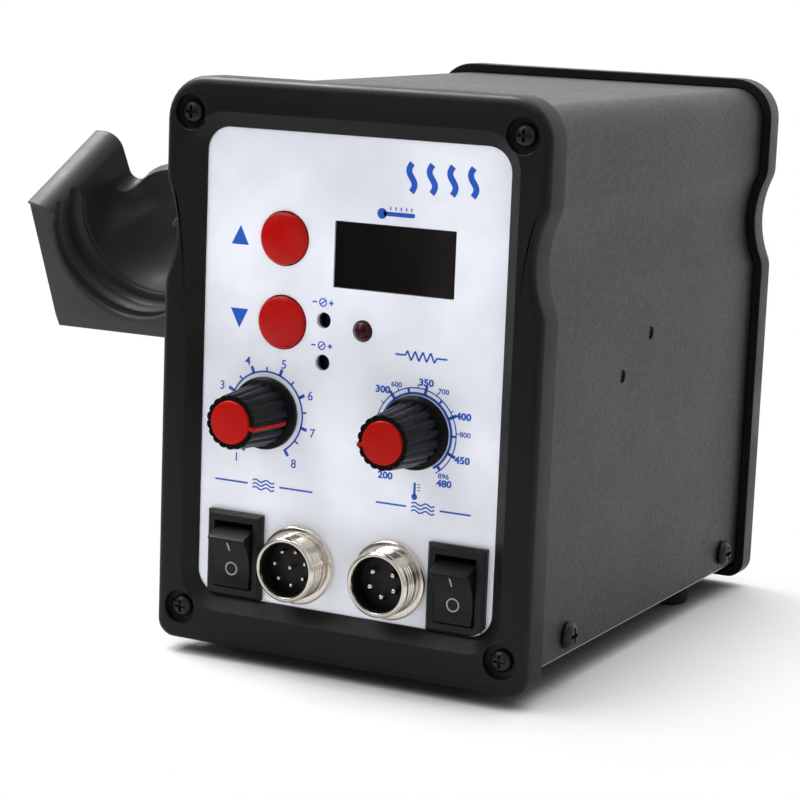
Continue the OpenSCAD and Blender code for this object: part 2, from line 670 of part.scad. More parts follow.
// Clinch nuts inside both sides of the cover, for a holder on either side
nut_d = 6;
nut_t = 3;
module cover_nuts() placed() color(steel) holder_screw_places() for (side = [-1, 1])
    translate([side * (cover_x - cover_t), 0, 0]) rotate([0, -side * 90, 0]) difference() {
        cylinder(d = nut_d, h = nut_t, $fn = 6);
        translate([0, 0, -cut]) cylinder(d = screw_shank_d + 0.1, h = nut_t + 2 * cut);
    }

// Display behind a tinted window that lies on the chassis wall
window_sink = 0.3;
module display_window() placed() color("#141018")
    along_y(face_recess + window_sink, panel_t - window_sink) translate([display_x, display_z])
        square([display_w - 0.2, display_h - 0.2], center = true);
digit_pins = 12;
pin_side = 0.5;
module display_module() placed() color("#202022") {
    along_y(wall_back_y + play, board_gap - play) translate([display_x, display_z])
        square([display_w - 1.4, display_h - 1.6], center = true);
    for (i = [0:digit_pins - 1]) translate([display_x + (i - (digit_pins - 1) / 2) * 2.2 - pin_side / 2,
        board_y - 1, display_z - 5]) cube([pin_side, board_t + 2, pin_side]);
}
board_screw_d = 3;
board_head_d = 5;
board_screw_bite = 5;
standoff_r = 2.75;
board_hole_edge = 4;
board_screw_x = [board_hole_edge - board_w / 2, board_w / 2 - board_hole_edge];
board_screw_z = [board_low_z + board_hole_edge, board_low_z + board_h - board_hole_edge];
module board_screw_places() for (x = board_screw_x, z = board_screw_z) translate([x, 0, z]) children();
module control_board() placed() color(board_green) along_y(board_y, board_t) difference() {
    translate([-board_w / 2, board_low_z]) square([board_w, board_h]);
    for (x = board_screw_x, z = board_screw_z) translate([x, z]) circle(d = board_screw_d + 0.2);
    translate([display_x, display_z - 5 + pin_side / 2]) square([digit_pins * 2.3, 1.2], center = true);
    for (x = lamp_lead_x) translate([lamp_x + x, lamp_z]) circle(0.5);
}
module board_standoffs() placed() color(brass) board_screw_places() difference() {
    hole_y(0, 0, standoff_r, wall_back_y, board_y);
    hole_y(0, 0, board_screw_d / 2 + running_play, wall_back_y - cut, board_y + cut);
}
module board_screws() placed() color(steel) board_screw_places()
    facing_back(0, board_y + board_t, 0)
        pan_screw(board_head_d, board_screw_d, board_t + board_screw_bite);

// Push buttons: a cap with a retaining collar, and the plunger of the tact switch behind it
switch_h = 3.5;
tact_side = 6;
plunger_d = 3.2;
collar_t = 1;
plunger_root = 0.6;
button_edge_r = 0.8;
button_crown = 0.7;
cap_stem_y = board_y - switch_h - button_travel - plunger_root;
module button_cap(z) placed() color(red) facing_front(-button_x, cap_stem_y, z) {
    top = cap_stem_y - face_recess + button_proud;
    collar = cap_stem_y - wall_back_y - play;
    rotate_extrude() polygon(concat(
        [[0, 0], [2.6, 0], [2.6, collar - collar_t], [button_d / 2 + 1.4, collar - collar_t],
         [button_d / 2 + 1.4, collar], [button_d / 2, collar]],
        arc([button_d / 2 - button_edge_r, top - button_crown - button_edge_r], button_edge_r, 0, 80, 4),
        [for (i = [1:5]) [(button_d / 2 - button_edge_r) * (1 - i / 6),
            top - button_crown * pow(1 - i / 6, 2)]], [[0, top - button_crown / 36]]));
}
module button_plunger(z) placed() color("#202022")
    hole_y(-button_x, z, plunger_d / 2, cap_stem_y, board_y - switch_h + plunger_root);
module button_up_cap() button_cap(button_up_z);
module button_down_cap() button_cap(button_down_z);
module button_up_plunger() button_plunger(button_up_z);
module button_down_plunger() button_plunger(button_down_z);
module button_switches() placed() color("#303034") for (z = [button_up_z, button_down_z]) difference() {
    along_y(board_y - switch_h, switch_h) translate([-button_x, z])
        rounded_box_2d(tact_side, tact_side, 0.5);
    hole_y(-button_x, z, plunger_d / 2 + running_play, board_y - switch_h - cut,
        board_y - switch_h + plunger_root + button_travel + play);
}
// Lamp with two leads down to the board
lamp_proud = 1.6;
lamp_lead_x = [-1.27, 1.27];
lamp_body_h = 8;
module heater_lamp() placed() color("#5a1420") {
    facing_front(lamp_x, face_recess - lamp_proud, lamp_z) rotate_extrude() polygon(concat(
        [[0, -lamp_body_h], [lamp_d / 2 + 0.4, -lamp_body_h], [lamp_d / 2 + 0.4, 1 - lamp_body_h],
         [lamp_d / 2, 1 - lamp_body_h]], arc([0, -lamp_d / 2], lamp_d / 2, 0, 90, 6)));
    for (x = lamp_lead_x) hole_y(lamp_x + x, lamp_z, 0.25, face_recess - lamp_proud + lamp_body_h - 0.5,
        board_y + board_t + 1);
}

// Calibration trimmers, turned with a screwdriver through the panel
trimmer_side = 6.6;
trimmer_h = 5;
rotor_d = 3.4;
module trimmer_bodies() placed() color("#2b63c9") for (z = [trimmer_upper_z, trimmer_lower_z])
    difference() {
        along_y(board_y - trimmer_h, trimmer_h) translate([-trimmer_x, z])
            square(trimmer_side, center = true);
        hole_y(-trimmer_x, z, rotor_d / 2 + running_play, board_y - trimmer_h - cut, board_y - 2);
    }
module trimmer_rotor(z) placed() color(nickel) facing_front(-trimmer_x, board_y - 2.2, z) difference() {
    cylinder(d = rotor_d, h = trimmer_h - 2);
    translate([-rotor_d, -0.3, trimmer_h - 2.8]) cube([2 * rotor_d, 0.6, 1.5]);
}
module upper_trimmer_rotor() trimmer_rotor(trimmer_upper_z);
module lower_trimmer_rotor() trimmer_rotor(trimmer_lower_z);

// Potentiometers
bush_proud = 2.6;
pot_depth = 8;
pot_foot_w = 12;
pot_foot_h = 6;
pot_foot_t = 1.6;
pot_foot_drop = 4;
pot_tag_w = 1.2;
pot_tag_t = 0.5;
pot_tag_l = 5;
pot_tag_pitch = 4;
module potentiometer(x) placed() color(steel) facing_front(x, face_recess, knob_z) {
    back = -(panel_t + chassis_t);
    difference() {
        union() {
            translate([0, 0, back - pot_depth]) cylinder(d = pot_d, h = pot_depth);
            translate([0, 0, back - cut]) cylinder(d = bush_d, h = cut - back + bush_proud);
            translate([-pot_foot_w / 2, -pot_d / 2 - pot_foot_drop, back - pot_depth + 1])
                cube([pot_foot_w, pot_foot_h, pot_foot_t]);
            for (i = [-1, 0, 1]) translate([i * pot_tag_pitch - pot_tag_w / 2,
                -pot_d / 2 - 2 * pot_foot_drop, back - pot_depth + pot_foot_t])
                    cube([pot_tag_w, pot_tag_l, pot_tag_t]);
        }
        translate([0, 0, back - shaft_depth]) cylinder(d = shaft_d + 2 * running_play, h = 30);
    }
}
shaft_depth = 4;
module airflow_pot() potentiometer(-knob_left_x);
module temperature_pot() potentiometer(knob_right_x);
pot_nut_t = 2;
pot_nut_r = 5.6;
module pot_nuts() placed() color(nickel) for (x = [-knob_left_x, knob_right_x])
    facing_front(x, face_recess, knob_z) difference() {
        cylinder(r = pot_nut_r, h = pot_nut_t, $fn = 6);
        translate([0, 0, -cut]) cylinder(d = bush_d + 0.1, h = pot_nut_t + 2 * cut);
    }
shaft_top = knob_h - 4;
module pot_shaft(x) placed() color(nickel) facing_front(x, face_recess, knob_z)
    translate([0, 0, 0.2 - panel_t - chassis_t - shaft_depth])
        cylinder(d = shaft_d, h = shaft_top + panel_t + chassis_t + shaft_depth - 0.2);
module airflow_shaft() pot_shaft(-knob_left_x);
module temperature_shaft() pot_shaft(knob_right_x);

// Fluted knobs with a red cap and a red pointer down the flank
skirt_h = 2.4;
skirt_r = 1;
cap_r = 0.6;
flute_depth = 0.45;
flute_points = 6;
knob_base_r = knob_d / 2 - 1.1;
pointer_w = 0.9;
cap_h = 1;
knob_body_h = knob_h - cap_r;
pointer_low = 3.5;
pointer_sink = 2;
pointer_proud = 0.1;
// Radius of the tapered flank at a height over the flutes
function flank_r(h) = knob_base_r
    + (knob_top_d / 2 - knob_base_r) * (h - skirt_h) / (knob_body_h - skirt_h);
function fluted(h) = [for (i = [0:flute_count * flute_points - 1]) let (
    a = 360 * i / (flute_count * flute_points),
    r = flank_r(h) - flute_depth * (1 - pow(abs(sin(a * flute_count / 2)), 0.6))
) [r * cos(a), r * sin(a), h]];
module fluted_cone(h0, h1) {
    n = flute_count * flute_points;
    polyhedron(concat(fluted(h0), fluted(h1)), concat(
        [for (i = [0:n - 1]) each [[i, n + i, n + (i + 1) % n], [i, n + (i + 1) % n, (i + 1) % n]]],
        [[for (i = [0:n - 1]) i]], [[for (i = [n - 1:-1:0]) n + i]]));
}
// Side of the pointer, and of the groove for it: grown by g, out of the flank and over the top
module pointer_2d(g, out, over) polygon([
    [flank_r(pointer_low) - pointer_sink - g, pointer_low - g],
    [flank_r(pointer_low) + out, pointer_low - g],
    [flank_r(knob_body_h) + out, knob_body_h + over],
    [knob_cap_d / 2 - cap_r - g, knob_body_h + over],
    [knob_cap_d / 2 - cap_r - g, knob_body_h - cap_h / 2 - g],
    [knob_top_d / 2 - 1 - g, knob_body_h - cap_h - 0.5 - g]]);
module upright(turn, w) rotate(turn) translate([0, w / 2, 0]) rotate([90, 0, 0])
    linear_extrude(w) children();
module knob(x, turn) placed() color(knob_black) facing_front(x, face_recess, knob_z) difference() {
    union() {
        translate([0, 0, play]) rotate_extrude() polygon(concat([[0, 0], [knob_d / 2, 0]],
            arc([knob_d / 2 - skirt_r, skirt_r], skirt_r, 0, 90, 4),
            [[knob_base_r - 1, skirt_h], [0, skirt_h]]));
        intersection() {
            fluted_cone(skirt_h / 2, knob_body_h + cut);
            cylinder(d = knob_d, h = knob_body_h);
        }
    }
    translate([0, 0, -cut]) cylinder(r = 6.2, h = cut + bush_proud + play);
    translate([0, 0, -cut]) cylinder(d = shaft_d + 0.02, h = shaft_top + cut);
    translate([0, 0, knob_body_h - cap_h]) cylinder(d = knob_cap_d + 0.1, h = 2 * cap_h);
    upright(turn, pointer_w + 0.1) pointer_2d(0.1, cut, cut);
}
module knob_cap(x, turn) placed() color(red) facing_front(x, face_recess, knob_z) {
    translate([0, 0, knob_body_h - cap_h]) rotate_extrude() polygon(concat([[0, 0], [knob_cap_d / 2, 0]],
        arc([knob_cap_d / 2 - cap_r, cap_h], cap_r, 0, 90, 3), [[0, cap_h + cap_r]]));
    upright(turn, pointer_w) pointer_2d(0, pointer_proud, 0.25);
}
airflow_turn = -10;
temperature_turn = 190;
module airflow_knob() knob(-knob_left_x, airflow_turn);
module temperature_knob() knob(knob_right_x, temperature_turn);
module airflow_knob_cap() knob_cap(-knob_left_x, airflow_turn);
module temperature_knob_cap() knob_cap(knob_right_x, temperature_turn);

// Rocker switches
rocker_face_y = face_recess - rocker_proud;
pivot_y = rocker_face_y + 4.25;
pivot_d = 2.2;
pivot_l = 12;
switch_depth = 14;
lever_w = 10;
mouth_w = lever_w + 2 * play;
mouth_h = 16.2;
mouth_depth = 7.8;
lever_reach = 6.9;
lever_half = 6.2;
lever_dip = 1.8;
lever_hollow_r = (pow(lever_half, 2) + pow(lever_dip, 2)) / (2 * lever_dip);
lever_angle = asin(lever_half / lever_hollow_r);
module switch_frame(x) placed() color("#1c1c1e") difference() {
    union() {
        intersection() {
            facing_front(x, face_recess, rocker_z) bevelled_block(rocker_w, rocker_h, rocker_proud, 0.8);
            along_y(rocker_face_y - cut, rocker_proud + 2 * cut)
                polygon(window(opening_x - play, opening_low_z + play, opening_high_z - play, opening_r));
        }
        along_y(face_recess - 0.5, switch_depth + 0.5) translate([x, rocker_z])
            square([switch_body_w, switch_body_h], center = true);
    }
    translate([x - mouth_w / 2, rocker_face_y - cut, rocker_z - mouth_h / 2])
        cube([mouth_w, mouth_depth + cut, mouth_h]);
    translate([x - pivot_l / 2, pivot_y, rocker_z]) rotate([0, 90, 0])
        cylinder(d = pivot_d + 2 * running_play, h = pivot_l);
}
module rework_switch_frame() switch_frame(-rocker_left_x);
module iron_switch_frame() switch_frame(rocker_right_x);
// The rocker's own frame has its origin on the pivot, with x pointing out and y up
module rocker(x) placed() color("#222224") translate([x, pivot_y, rocker_z]) {
    translate([-lever_w / 2, 0, 0]) rotate([rocker_swing / 2, 0, 0]) rotate([90, 0, 90])
        linear_extrude(lever_w) polygon(concat(
            arc([-lever_reach - lever_hollow_r * cos(lever_angle), 0], lever_hollow_r,
                -lever_angle, lever_angle, 10),
            [[-6, 6.6], [-1.5, 7.2], [0, 5.6], [1.6, 2.2],
             [1.8, 0], [1.6, -2.2], [0, -5.6], [-1.5, -7.2], [-6, -6.6]]));
    rotate([0, 90, 0]) cylinder(d = pivot_d, h = pivot_l - 0.4, center = true);
}
module rework_rocker() rocker(-rocker_left_x);
module iron_rocker() rocker(rocker_right_x);
tag_t = 0.8;
tag_w = 4.6;
tag_l = 8;
tag_x = 3.2;
tag_z = 4.8;
module switch_terminals() placed() color(brass)
    for (x = [-rocker_left_x, rocker_right_x], i = [-1, 1], j = [-1, 1])
        translate([x + i * tag_x - tag_t / 2, face_recess + switch_depth,
            rocker_z + j * tag_z - tag_w / 2])
            cube([tag_t, tag_l, tag_w]);

// Round threaded sockets
insert_sink = 5;
socket_back = 12;
rim_bevel = (socket_thread_d - socket_bore_d) / 2 - 0.6;
module socket_shell(x) placed() color(nickel) facing_front(x, face_recess, socket_z)
    rotate_extrude() polygon([
        [socket_bore_d / 2, socket_proud], [socket_thread_d / 2 - rim_bevel, socket_proud],
        [socket_thread_d / 2, socket_proud - rim_bevel], [socket_thread_d / 2, 1.6],
        [socket_flange_d / 2 - 0.4, 1.6], [socket_flange_d / 2, 1.2], [socket_flange_d / 2, 0],
        [socket_neck_d / 2, 0], [socket_neck_d / 2, -socket_back], [socket_bore_d / 2, -socket_back]]);
module rework_socket_shell() socket_shell(-socket_left_x);
module iron_socket_shell() socket_shell(socket_right_x);
// Arc of pins that ends lie alike on both sides of the bottom, round an optional middle pin
module pin_places(ring, ring_r, middle, pitch, turn) {
    for (i = [0:ring - 1]) rotate(turn - 90 + pitch * (i - (ring - 1) / 2)) translate([ring_r, 0, 0])
        children();
    if (middle) children();
}
insert_r = socket_bore_d / 2 - 0.02;
insert_face = socket_proud - insert_sink;
module socket_insert(x, ring, ring_r, middle, pin_r, pitch, turn) placed() color("#121214")
    facing_front(x, face_recess, socket_z) difference() {
        translate([0, 0, 1 - socket_back]) cylinder(r = insert_r, h = socket_back + insert_face - 1);
        pin_places(ring, ring_r, middle, pitch, turn) translate([0, 0, -socket_back - cut])
            cylinder(r = pin_r, h = socket_back + insert_face + 2 * cut, $fn = 24);
    }
module socket_pins(x, ring, ring_r, middle, pin_r, pitch, turn) placed() color(nickel)
    facing_front(x, face_recess, socket_z) pin_places(ring, ring_r, middle, pitch, turn) {
        translate([0, 0, -socket_back - pin_tail]) rotate_extrude($fn = 24)
            polygon(concat([[0, 0], [pin_r, 0]],
            arc([0, socket_back + pin_tail + socket_proud - pin_sink - pin_r], pin_r, 0, 90, 3)));
    }
pin_tail = 4;
pin_sink = 2.6;
left_pin_r = 0.6;
right_pin_r = 0.85;
left_ring_r = 4.25;
right_ring_r = 3.5;
left_pin_pitch = 360 / left_ring_pins;
left_pin_turn = 6;
right_pin_turn = -2;
module rework_socket_insert()
    socket_insert(-socket_left_x, left_ring_pins, left_ring_r, true, left_pin_r, left_pin_pitch,
        left_pin_turn);
module iron_socket_insert()
    socket_insert(socket_right_x, right_ring_pins, right_ring_r, false, right_pin_r, right_pin_pitch,
        right_pin_turn);
module rework_socket_pins()
    socket_pins(-socket_left_x, left_ring_pins, left_ring_r, true, left_pin_r, left_pin_pitch,
        left_pin_turn);
module iron_socket_pins()
    socket_pins(socket_right_x, right_ring_pins, right_ring_r, false, right_pin_r, right_pin_pitch,
        right_pin_turn);
socket_nut_t = 2.6;
socket_nut_w = 21.5;
module socket_nuts() placed() color(nickel) for (x = [-socket_left_x, socket_right_x])
    facing_front(x, wall_back_y, socket_z) translate([0, 0, -socket_nut_t]) difference() {
        cylinder(d = socket_nut_w, h = socket_nut_t, $fn = 6);
        translate([0, 0, -cut]) cylinder(d = socket_neck_d + 0.1, h = socket_nut_t + 2 * cut);
    }

// Mains transformer standing on the floor: laminated core, winding on its middle leg, steel strap
core_leg = core_w / 6;
transformer_y = rear_wall_y - transformer_back;
strap_t = 1.5;
ear_w = 13;
winding_slack = 0.3;
winding_r = 5;
module core_window_2d() for (side = [-1, 1])
    translate([side * core_leg * 1.5, core_h / 2]) square([core_leg, core_h - 2 * core_leg], center = true);
module transformer_core() placed() color("#77797c") translate([0, 0, floor_top_z])
    along_y(transformer_y - core_t / 2, core_t) difference() {
        translate([-core_w / 2, 0]) square([core_w, core_h]);
        core_window_2d();
    }
module transformer_winding() placed() color("#c98a2b") translate([0, 0, floor_top_z]) {
    inner_h = core_h - 2 * core_leg - 2 * winding_slack;
    translate([0, transformer_y, core_h / 2 - inner_h / 2]) linear_extrude(inner_h) difference() {
        rounded_box_2d(4 * core_leg - 2 * winding_slack, core_t + 2 * core_leg - 2 * winding_slack,
            winding_r);
        square([2 * core_leg + 2 * winding_slack, core_t + 2 * winding_slack], center = true);
    }
}
module transformer_ear_places() for (side = [-1, 1])
    translate([side * (core_w / 2 + ear_w / 2), transformer_y]) children();
module transformer_frame() placed() color(steel) {
    outer_x = core_w / 2 + sheet_gap + strap_t;
    strap_w = core_t * 0.6;
    along_y(transformer_y - strap_w / 2, strap_w) difference() {
        translate([-outer_x, floor_top_z]) square([2 * outer_x, core_h + sheet_gap + strap_t]);
        translate([strap_t - outer_x, floor_top_z - cut])
            square([2 * outer_x - 2 * strap_t, core_h + sheet_gap + cut]);
    }
    translate([0, 0, floor_top_z]) linear_extrude(strap_t) difference() {
        for (side = [-1, 1]) translate([side * (core_w / 2 + ear_w / 2), transformer_y])
            square([ear_w, strap_w], center = true);
        transformer_ear_places() circle(d = 3.4);
        translate([0, transformer_y]) square([core_w, 2 * strap_w], center = true);
    }
}
module transformer_screws() placed() color(steel) transformer_ear_places()
    translate([0, 0, floor_top_z + strap_t]) pan_screw(floor_head_d, foot_screw_d, strap_t + chassis_t + 1.5);

// Power board on the floor: heat sink with two triacs, capacitors and terminal blocks
power_gap = 5;
power_z = floor_top_z + power_gap;
winding_y = transformer_y - core_t / 2 - core_leg + winding_slack;
power_board_d = winding_y - power_board_clear - power_board_y;
module power_standoff_places() for (x = [-1, 1], y = [0, 1])
    translate([x * (power_board_w / 2 - board_hole_edge),
        power_board_y + board_hole_edge + y * (power_board_d - 2 * board_hole_edge)]) children();
module power_board() placed() color(board_green) translate([0, 0, power_z]) linear_extrude(board_t)
    difference() {
        translate([-power_board_w / 2, power_board_y]) square([power_board_w, power_board_d]);
        power_standoff_places() circle(d = board_screw_d + 0.2);
    }
module power_board_standoffs() placed() color(brass) power_standoff_places() {
    translate([0, 0, floor_top_z]) difference() {
        cylinder(r = standoff_r, h = power_gap);
        translate([0, 0, -cut]) cylinder(d = board_screw_d + 0.1, h = power_gap + 2 * cut);
    }
    translate([0, 0, power_z + board_t])
        pan_screw(board_head_d, board_screw_d, board_t + power_gap + chassis_t);
}
terminal_w = 18;
terminal_d = 9;
terminal_h = 10;
terminal_pitch = 20;
terminal_edge = 2;
triac_x = 10;
triac_w = 10;
triac_t = 4.6;
triac_h = 9;
triac_lift = 6;
triac_tab_t = 1.3;
triac_tab_h = 15;
triac_leg = 0.8;
triac_leg_pitch = 2.5;
sink_w = 44;
sink_h = 30;
sink_t = 3;
sink_edge = 3;
sink_y = terminal_edge + terminal_d + 1.5 + triac_t;
fin_count = 7;
fin_t = 1.4;
fin_l = power_board_d - sink_edge - sink_y - sink_t;
capacitor_d = 8;
capacitor_h = 20;
capacitor_edge = 7;
capacitor_x = (sink_w + capacitor_d) / 2 + 0.7;
module power_board_parts() placed() color("#8d9094") translate([0, power_board_y, power_z + board_t]) {
    translate([-sink_w / 2, sink_y, 0]) {
        cube([sink_w, sink_t, sink_h]);
        for (i = [0:fin_count - 1]) translate([i * (sink_w - fin_t) / (fin_count - 1), sink_t / 2, 0])
            cube([fin_t, sink_t / 2 + fin_l, sink_h]);
    }
    for (x = [-triac_x, triac_x]) translate([x - triac_w / 2, sink_y - triac_t, triac_lift]) {
        cube([triac_w, triac_t, triac_h]);
        translate([0, triac_t - triac_tab_t, 0]) cube([triac_w, triac_tab_t, triac_tab_h]);
        for (i = [-1, 0, 1])
            translate([triac_w / 2 + i * triac_leg_pitch - triac_leg / 2, triac_t / 2, -triac_lift])
                cube([triac_leg, triac_leg, triac_lift + triac_leg]);
    }
    for (x = [-capacitor_x, capacitor_x]) translate([x, power_board_d - capacitor_edge, 0])
        cylinder(d = capacitor_d, h = capacitor_h);
    for (i = [-1, 0, 1]) translate([i * terminal_pitch - terminal_w / 2, terminal_edge, 0])
        cube([terminal_w, terminal_d, terminal_h]);
}

// Mains inlet with a fuse drawer under the plug opening
flange_w = inlet_w + 4;
inlet_flange_h = inlet_h + 3;
plug_z = inlet_z + 5.5;
plug_w = 24;
plug_h = 16.4;
plug_depth = 17;
drawer_w = 20;
drawer_h = 8;
drawer_z = inlet_z - 10;
drawer_depth = drawer_travel + 2;
inlet_flange_t = 2;
inlet_face_y = rear_wall_y + chassis_t + inlet_flange_t;
plug_chamfer = 4.5;
module plug_opening_2d() translate([inlet_x, plug_z]) polygon([
    [-plug_w / 2, -plug_h / 2], [plug_w / 2, -plug_h / 2], [plug_w / 2, plug_h / 2 - plug_chamfer],
    [plug_w / 2 - plug_chamfer, plug_h / 2], [plug_chamfer - plug_w / 2, plug_h / 2],
    [-plug_w / 2, plug_h / 2 - plug_chamfer]]);
module mains_inlet() placed() color("#18181a") difference() {
    union() {
        along_y(inlet_face_y - inlet_flange_t, inlet_flange_t) translate([inlet_x, inlet_z])
            rounded_box_2d(flange_w, inlet_flange_h, 2);
        along_y(inlet_face_y - inlet_flange_t - inlet_depth, inlet_depth) translate([inlet_x, inlet_z])
            square([inlet_w, inlet_h], center = true);
    }
    along_y(inlet_face_y - plug_depth, plug_depth + cut) plug_opening_2d();
    along_y(inlet_face_y - drawer_depth - 0.5, drawer_depth + 0.5 + cut) translate([inlet_x, drawer_z])
        square([drawer_w + 2 * play, drawer_h + 2 * play], center = true);
    blades();
}
// Three flat blades from the solder tags behind the body to near the mouth of the plug opening
blade_w = 2;
blade_h = 4;
blade_sink = 5;
blade_tail = 7;
blade_x = 7;
blade_low = -1.5;
blade_high = 2.5;
module blades() for (p = [[-blade_x, blade_low], [blade_x, blade_low], [0, blade_high]])
    translate([inlet_x + p[0] - blade_w / 2, 0, plug_z + p[1] - blade_h / 2])
        translate([0, inlet_face_y - inlet_flange_t - inlet_depth - blade_tail, 0])
            cube([blade_w, blade_tail + inlet_depth + inlet_flange_t - blade_sink, blade_h]);
module inlet_blades() placed() color(nickel) blades();
module fuse_drawer() placed() color("#202024") difference() {
    along_y(inlet_face_y - drawer_depth, drawer_depth) translate([inlet_x, drawer_z])
        square([drawer_w, drawer_h], center = true);
    translate([inlet_x - fuse_l / 2 - 0.2, inlet_face_y - fuse_y - fuse_d / 2 - 0.3, drawer_z - 1])
        cube([fuse_l + 0.4, fuse_d + 0.6, drawer_h]);
    translate([inlet_x - pry_w / 2, inlet_face_y - 1, drawer_z + drawer_h / 2 - 1.4]) cube([pry_w, 2, 2]);
}
fuse_l = 17;
fuse_d = 5;
fuse_y = 11;
pry_w = 8;
module fuse() placed() color("#d9d9d2")
    translate([inlet_x - fuse_l / 2, inlet_face_y - fuse_y, drawer_z - 1 + fuse_d / 2])
        rotate([0, 90, 0]) cylinder(d = fuse_d, h = fuse_l);

front_bezel();
front_panel();
chassis();
rear_bezel();
cover();
cover_screws();
front_bezel_screws();
rear_bezel_screws();
feet();
foot_screws();
handle_holder();
holder_magnet();
holder_screws();
cover_nuts();
display_window();
display_module();
control_board();
board_standoffs();
board_screws();
button_up_cap();
button_up_plunger();
button_down_cap();
button_down_plunger();
button_switches();
heater_lamp();
trimmer_bodies();
upper_trimmer_rotor();
lower_trimmer_rotor();
airflow_pot();
temperature_pot();
pot_nuts();
airflow_shaft();
temperature_shaft();
airflow_knob();
temperature_knob();
airflow_knob_cap();
temperature_knob_cap();
rework_switch_frame();
iron_switch_frame();
rework_rocker();
iron_rocker();
switch_terminals();
rework_socket_shell();
iron_socket_shell();
rework_socket_insert();
iron_socket_insert();
rework_socket_pins();
iron_socket_pins();
socket_nuts();
transformer_core();
transformer_winding();
transformer_frame();
transformer_screws();
power_board();
power_board_parts();
power_board_standoffs();
mains_inlet();
inlet_blades();
fuse_drawer();
fuse();
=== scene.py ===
import json
import math

import bmesh
import bpy
from mathutils import Matrix, Vector
from mathutils.bvhtree import BVHTree


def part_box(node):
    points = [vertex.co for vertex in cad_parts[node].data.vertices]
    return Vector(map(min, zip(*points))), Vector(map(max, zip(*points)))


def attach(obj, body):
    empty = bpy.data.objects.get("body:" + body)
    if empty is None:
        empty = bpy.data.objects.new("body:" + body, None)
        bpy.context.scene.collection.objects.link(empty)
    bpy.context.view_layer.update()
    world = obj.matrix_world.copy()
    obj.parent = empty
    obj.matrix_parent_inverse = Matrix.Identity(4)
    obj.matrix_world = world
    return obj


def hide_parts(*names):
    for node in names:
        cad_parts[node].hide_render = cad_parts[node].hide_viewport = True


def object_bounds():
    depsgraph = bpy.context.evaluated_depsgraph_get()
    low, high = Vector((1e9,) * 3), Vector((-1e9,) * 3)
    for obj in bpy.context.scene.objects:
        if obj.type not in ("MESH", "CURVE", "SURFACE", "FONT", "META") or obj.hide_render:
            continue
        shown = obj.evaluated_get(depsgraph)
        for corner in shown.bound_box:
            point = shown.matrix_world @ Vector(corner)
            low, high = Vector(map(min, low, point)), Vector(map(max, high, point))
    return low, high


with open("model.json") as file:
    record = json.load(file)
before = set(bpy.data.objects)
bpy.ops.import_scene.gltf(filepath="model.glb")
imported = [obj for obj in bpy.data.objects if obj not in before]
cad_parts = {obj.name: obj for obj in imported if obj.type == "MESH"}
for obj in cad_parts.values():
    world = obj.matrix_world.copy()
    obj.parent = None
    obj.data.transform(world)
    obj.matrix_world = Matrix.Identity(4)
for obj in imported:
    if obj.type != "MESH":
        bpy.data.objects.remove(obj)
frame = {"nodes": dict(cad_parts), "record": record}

CAD_LOW, CAD_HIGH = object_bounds()
NODES = frame["nodes"]
BODIES = frame["record"]["behaviour"]["bodies"]
BODY_OF = {node: body for body, nodes in BODIES.items() for node in nodes}
SLOT_OF = {part["node"]: part["material_slot"] for part in frame["record"]["subparts"]}
MM = 0.001

# The housing's own corner: the middle of its width, its front face and its lower edge
BEZEL_LOW, BEZEL_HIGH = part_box("front_bezel")
HOUSING = Vector(((BEZEL_LOW.x + BEZEL_HIGH.x) / 2, BEZEL_LOW.y, BEZEL_LOW.z))


def at(x, y, z):
    """A point given in millimetres from the housing's own corner."""
    return HOUSING + Vector((x, y, z)) * MM


def middle(node):
    """The middle of a node's box, in millimetres from the housing's own corner."""
    low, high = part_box(node)
    return ((low + high) / 2 - HOUSING) / MM


PANEL_FACE_Y = (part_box("front_panel")[0].y - HOUSING.y) / MM


# Shader helpers

# Places of a colour mix node's sockets, whose names its other sockets share
MIX_FACTOR = 0
MIX_FIRST = 6
MIX_SECOND = 7
MIX_RESULT = 2
WHITE = (1, 1, 1, 1)


def feed(tree, socket, value):
    """Links an input to an output socket, or sets it to a plain value."""
    if isinstance(value, bpy.types.NodeSocket):
        tree.links.new(value, socket)
    else:
        socket.default_value = value


def add_node(tree, kind, settings=None, **inputs):
    """A node with its inputs fed; i0, i1 and so on name an input by its place."""
    node = tree.nodes.new(kind)
    for key, value in (settings or {}).items():
        setattr(node, key, value)
    for key, value in inputs.items():
        by_place = key[0] == "i" and key[1:].isdigit()
        socket = node.inputs[int(key[1:]) if by_place else key.replace("_", " ")]
        feed(tree, socket, value)
    return node


def maths(tree, operation, a, b=0.0):
    """The result of one maths node."""
    return add_node(tree, "ShaderNodeMath", {"operation": operation}, i0=a, i1=b).outputs[0]


def blend_colours(tree, factor, a, b, mode="MIX"):
    """Colour a blended with colour b by a factor."""
    node = add_node(tree, "ShaderNodeMix", {"data_type": "RGBA", "blend_type": mode})
    for place, value in ((MIX_FACTOR, factor), (MIX_FIRST, a), (MIX_SECOND, b)):
        feed(tree, node.inputs[place], value)
    return node.outputs[MIX_RESULT]


def spread(tree, value, low, high, to_low=0.0, to_high=1.0):
    """Maps a value from one range to another, held at both ends."""
    return add_node(tree, "ShaderNodeMapRange", Value=value, From_Min=low, From_Max=high,
                    To_Min=to_low, To_Max=to_high).outputs[0]


def object_place(tree):
    """Object coordinates, which stay with a piece as it moves."""
    return tree.nodes.new("ShaderNodeTexCoord").outputs["Object"]


def noise(tree, scale, detail=2.0, vector=None):
    """Noise over object coordinates, or over a given vector."""
    return add_node(tree, "ShaderNodeTexNoise", Vector=vector or object_place(tree),
                    Scale=scale, Detail=detail).outputs[0]


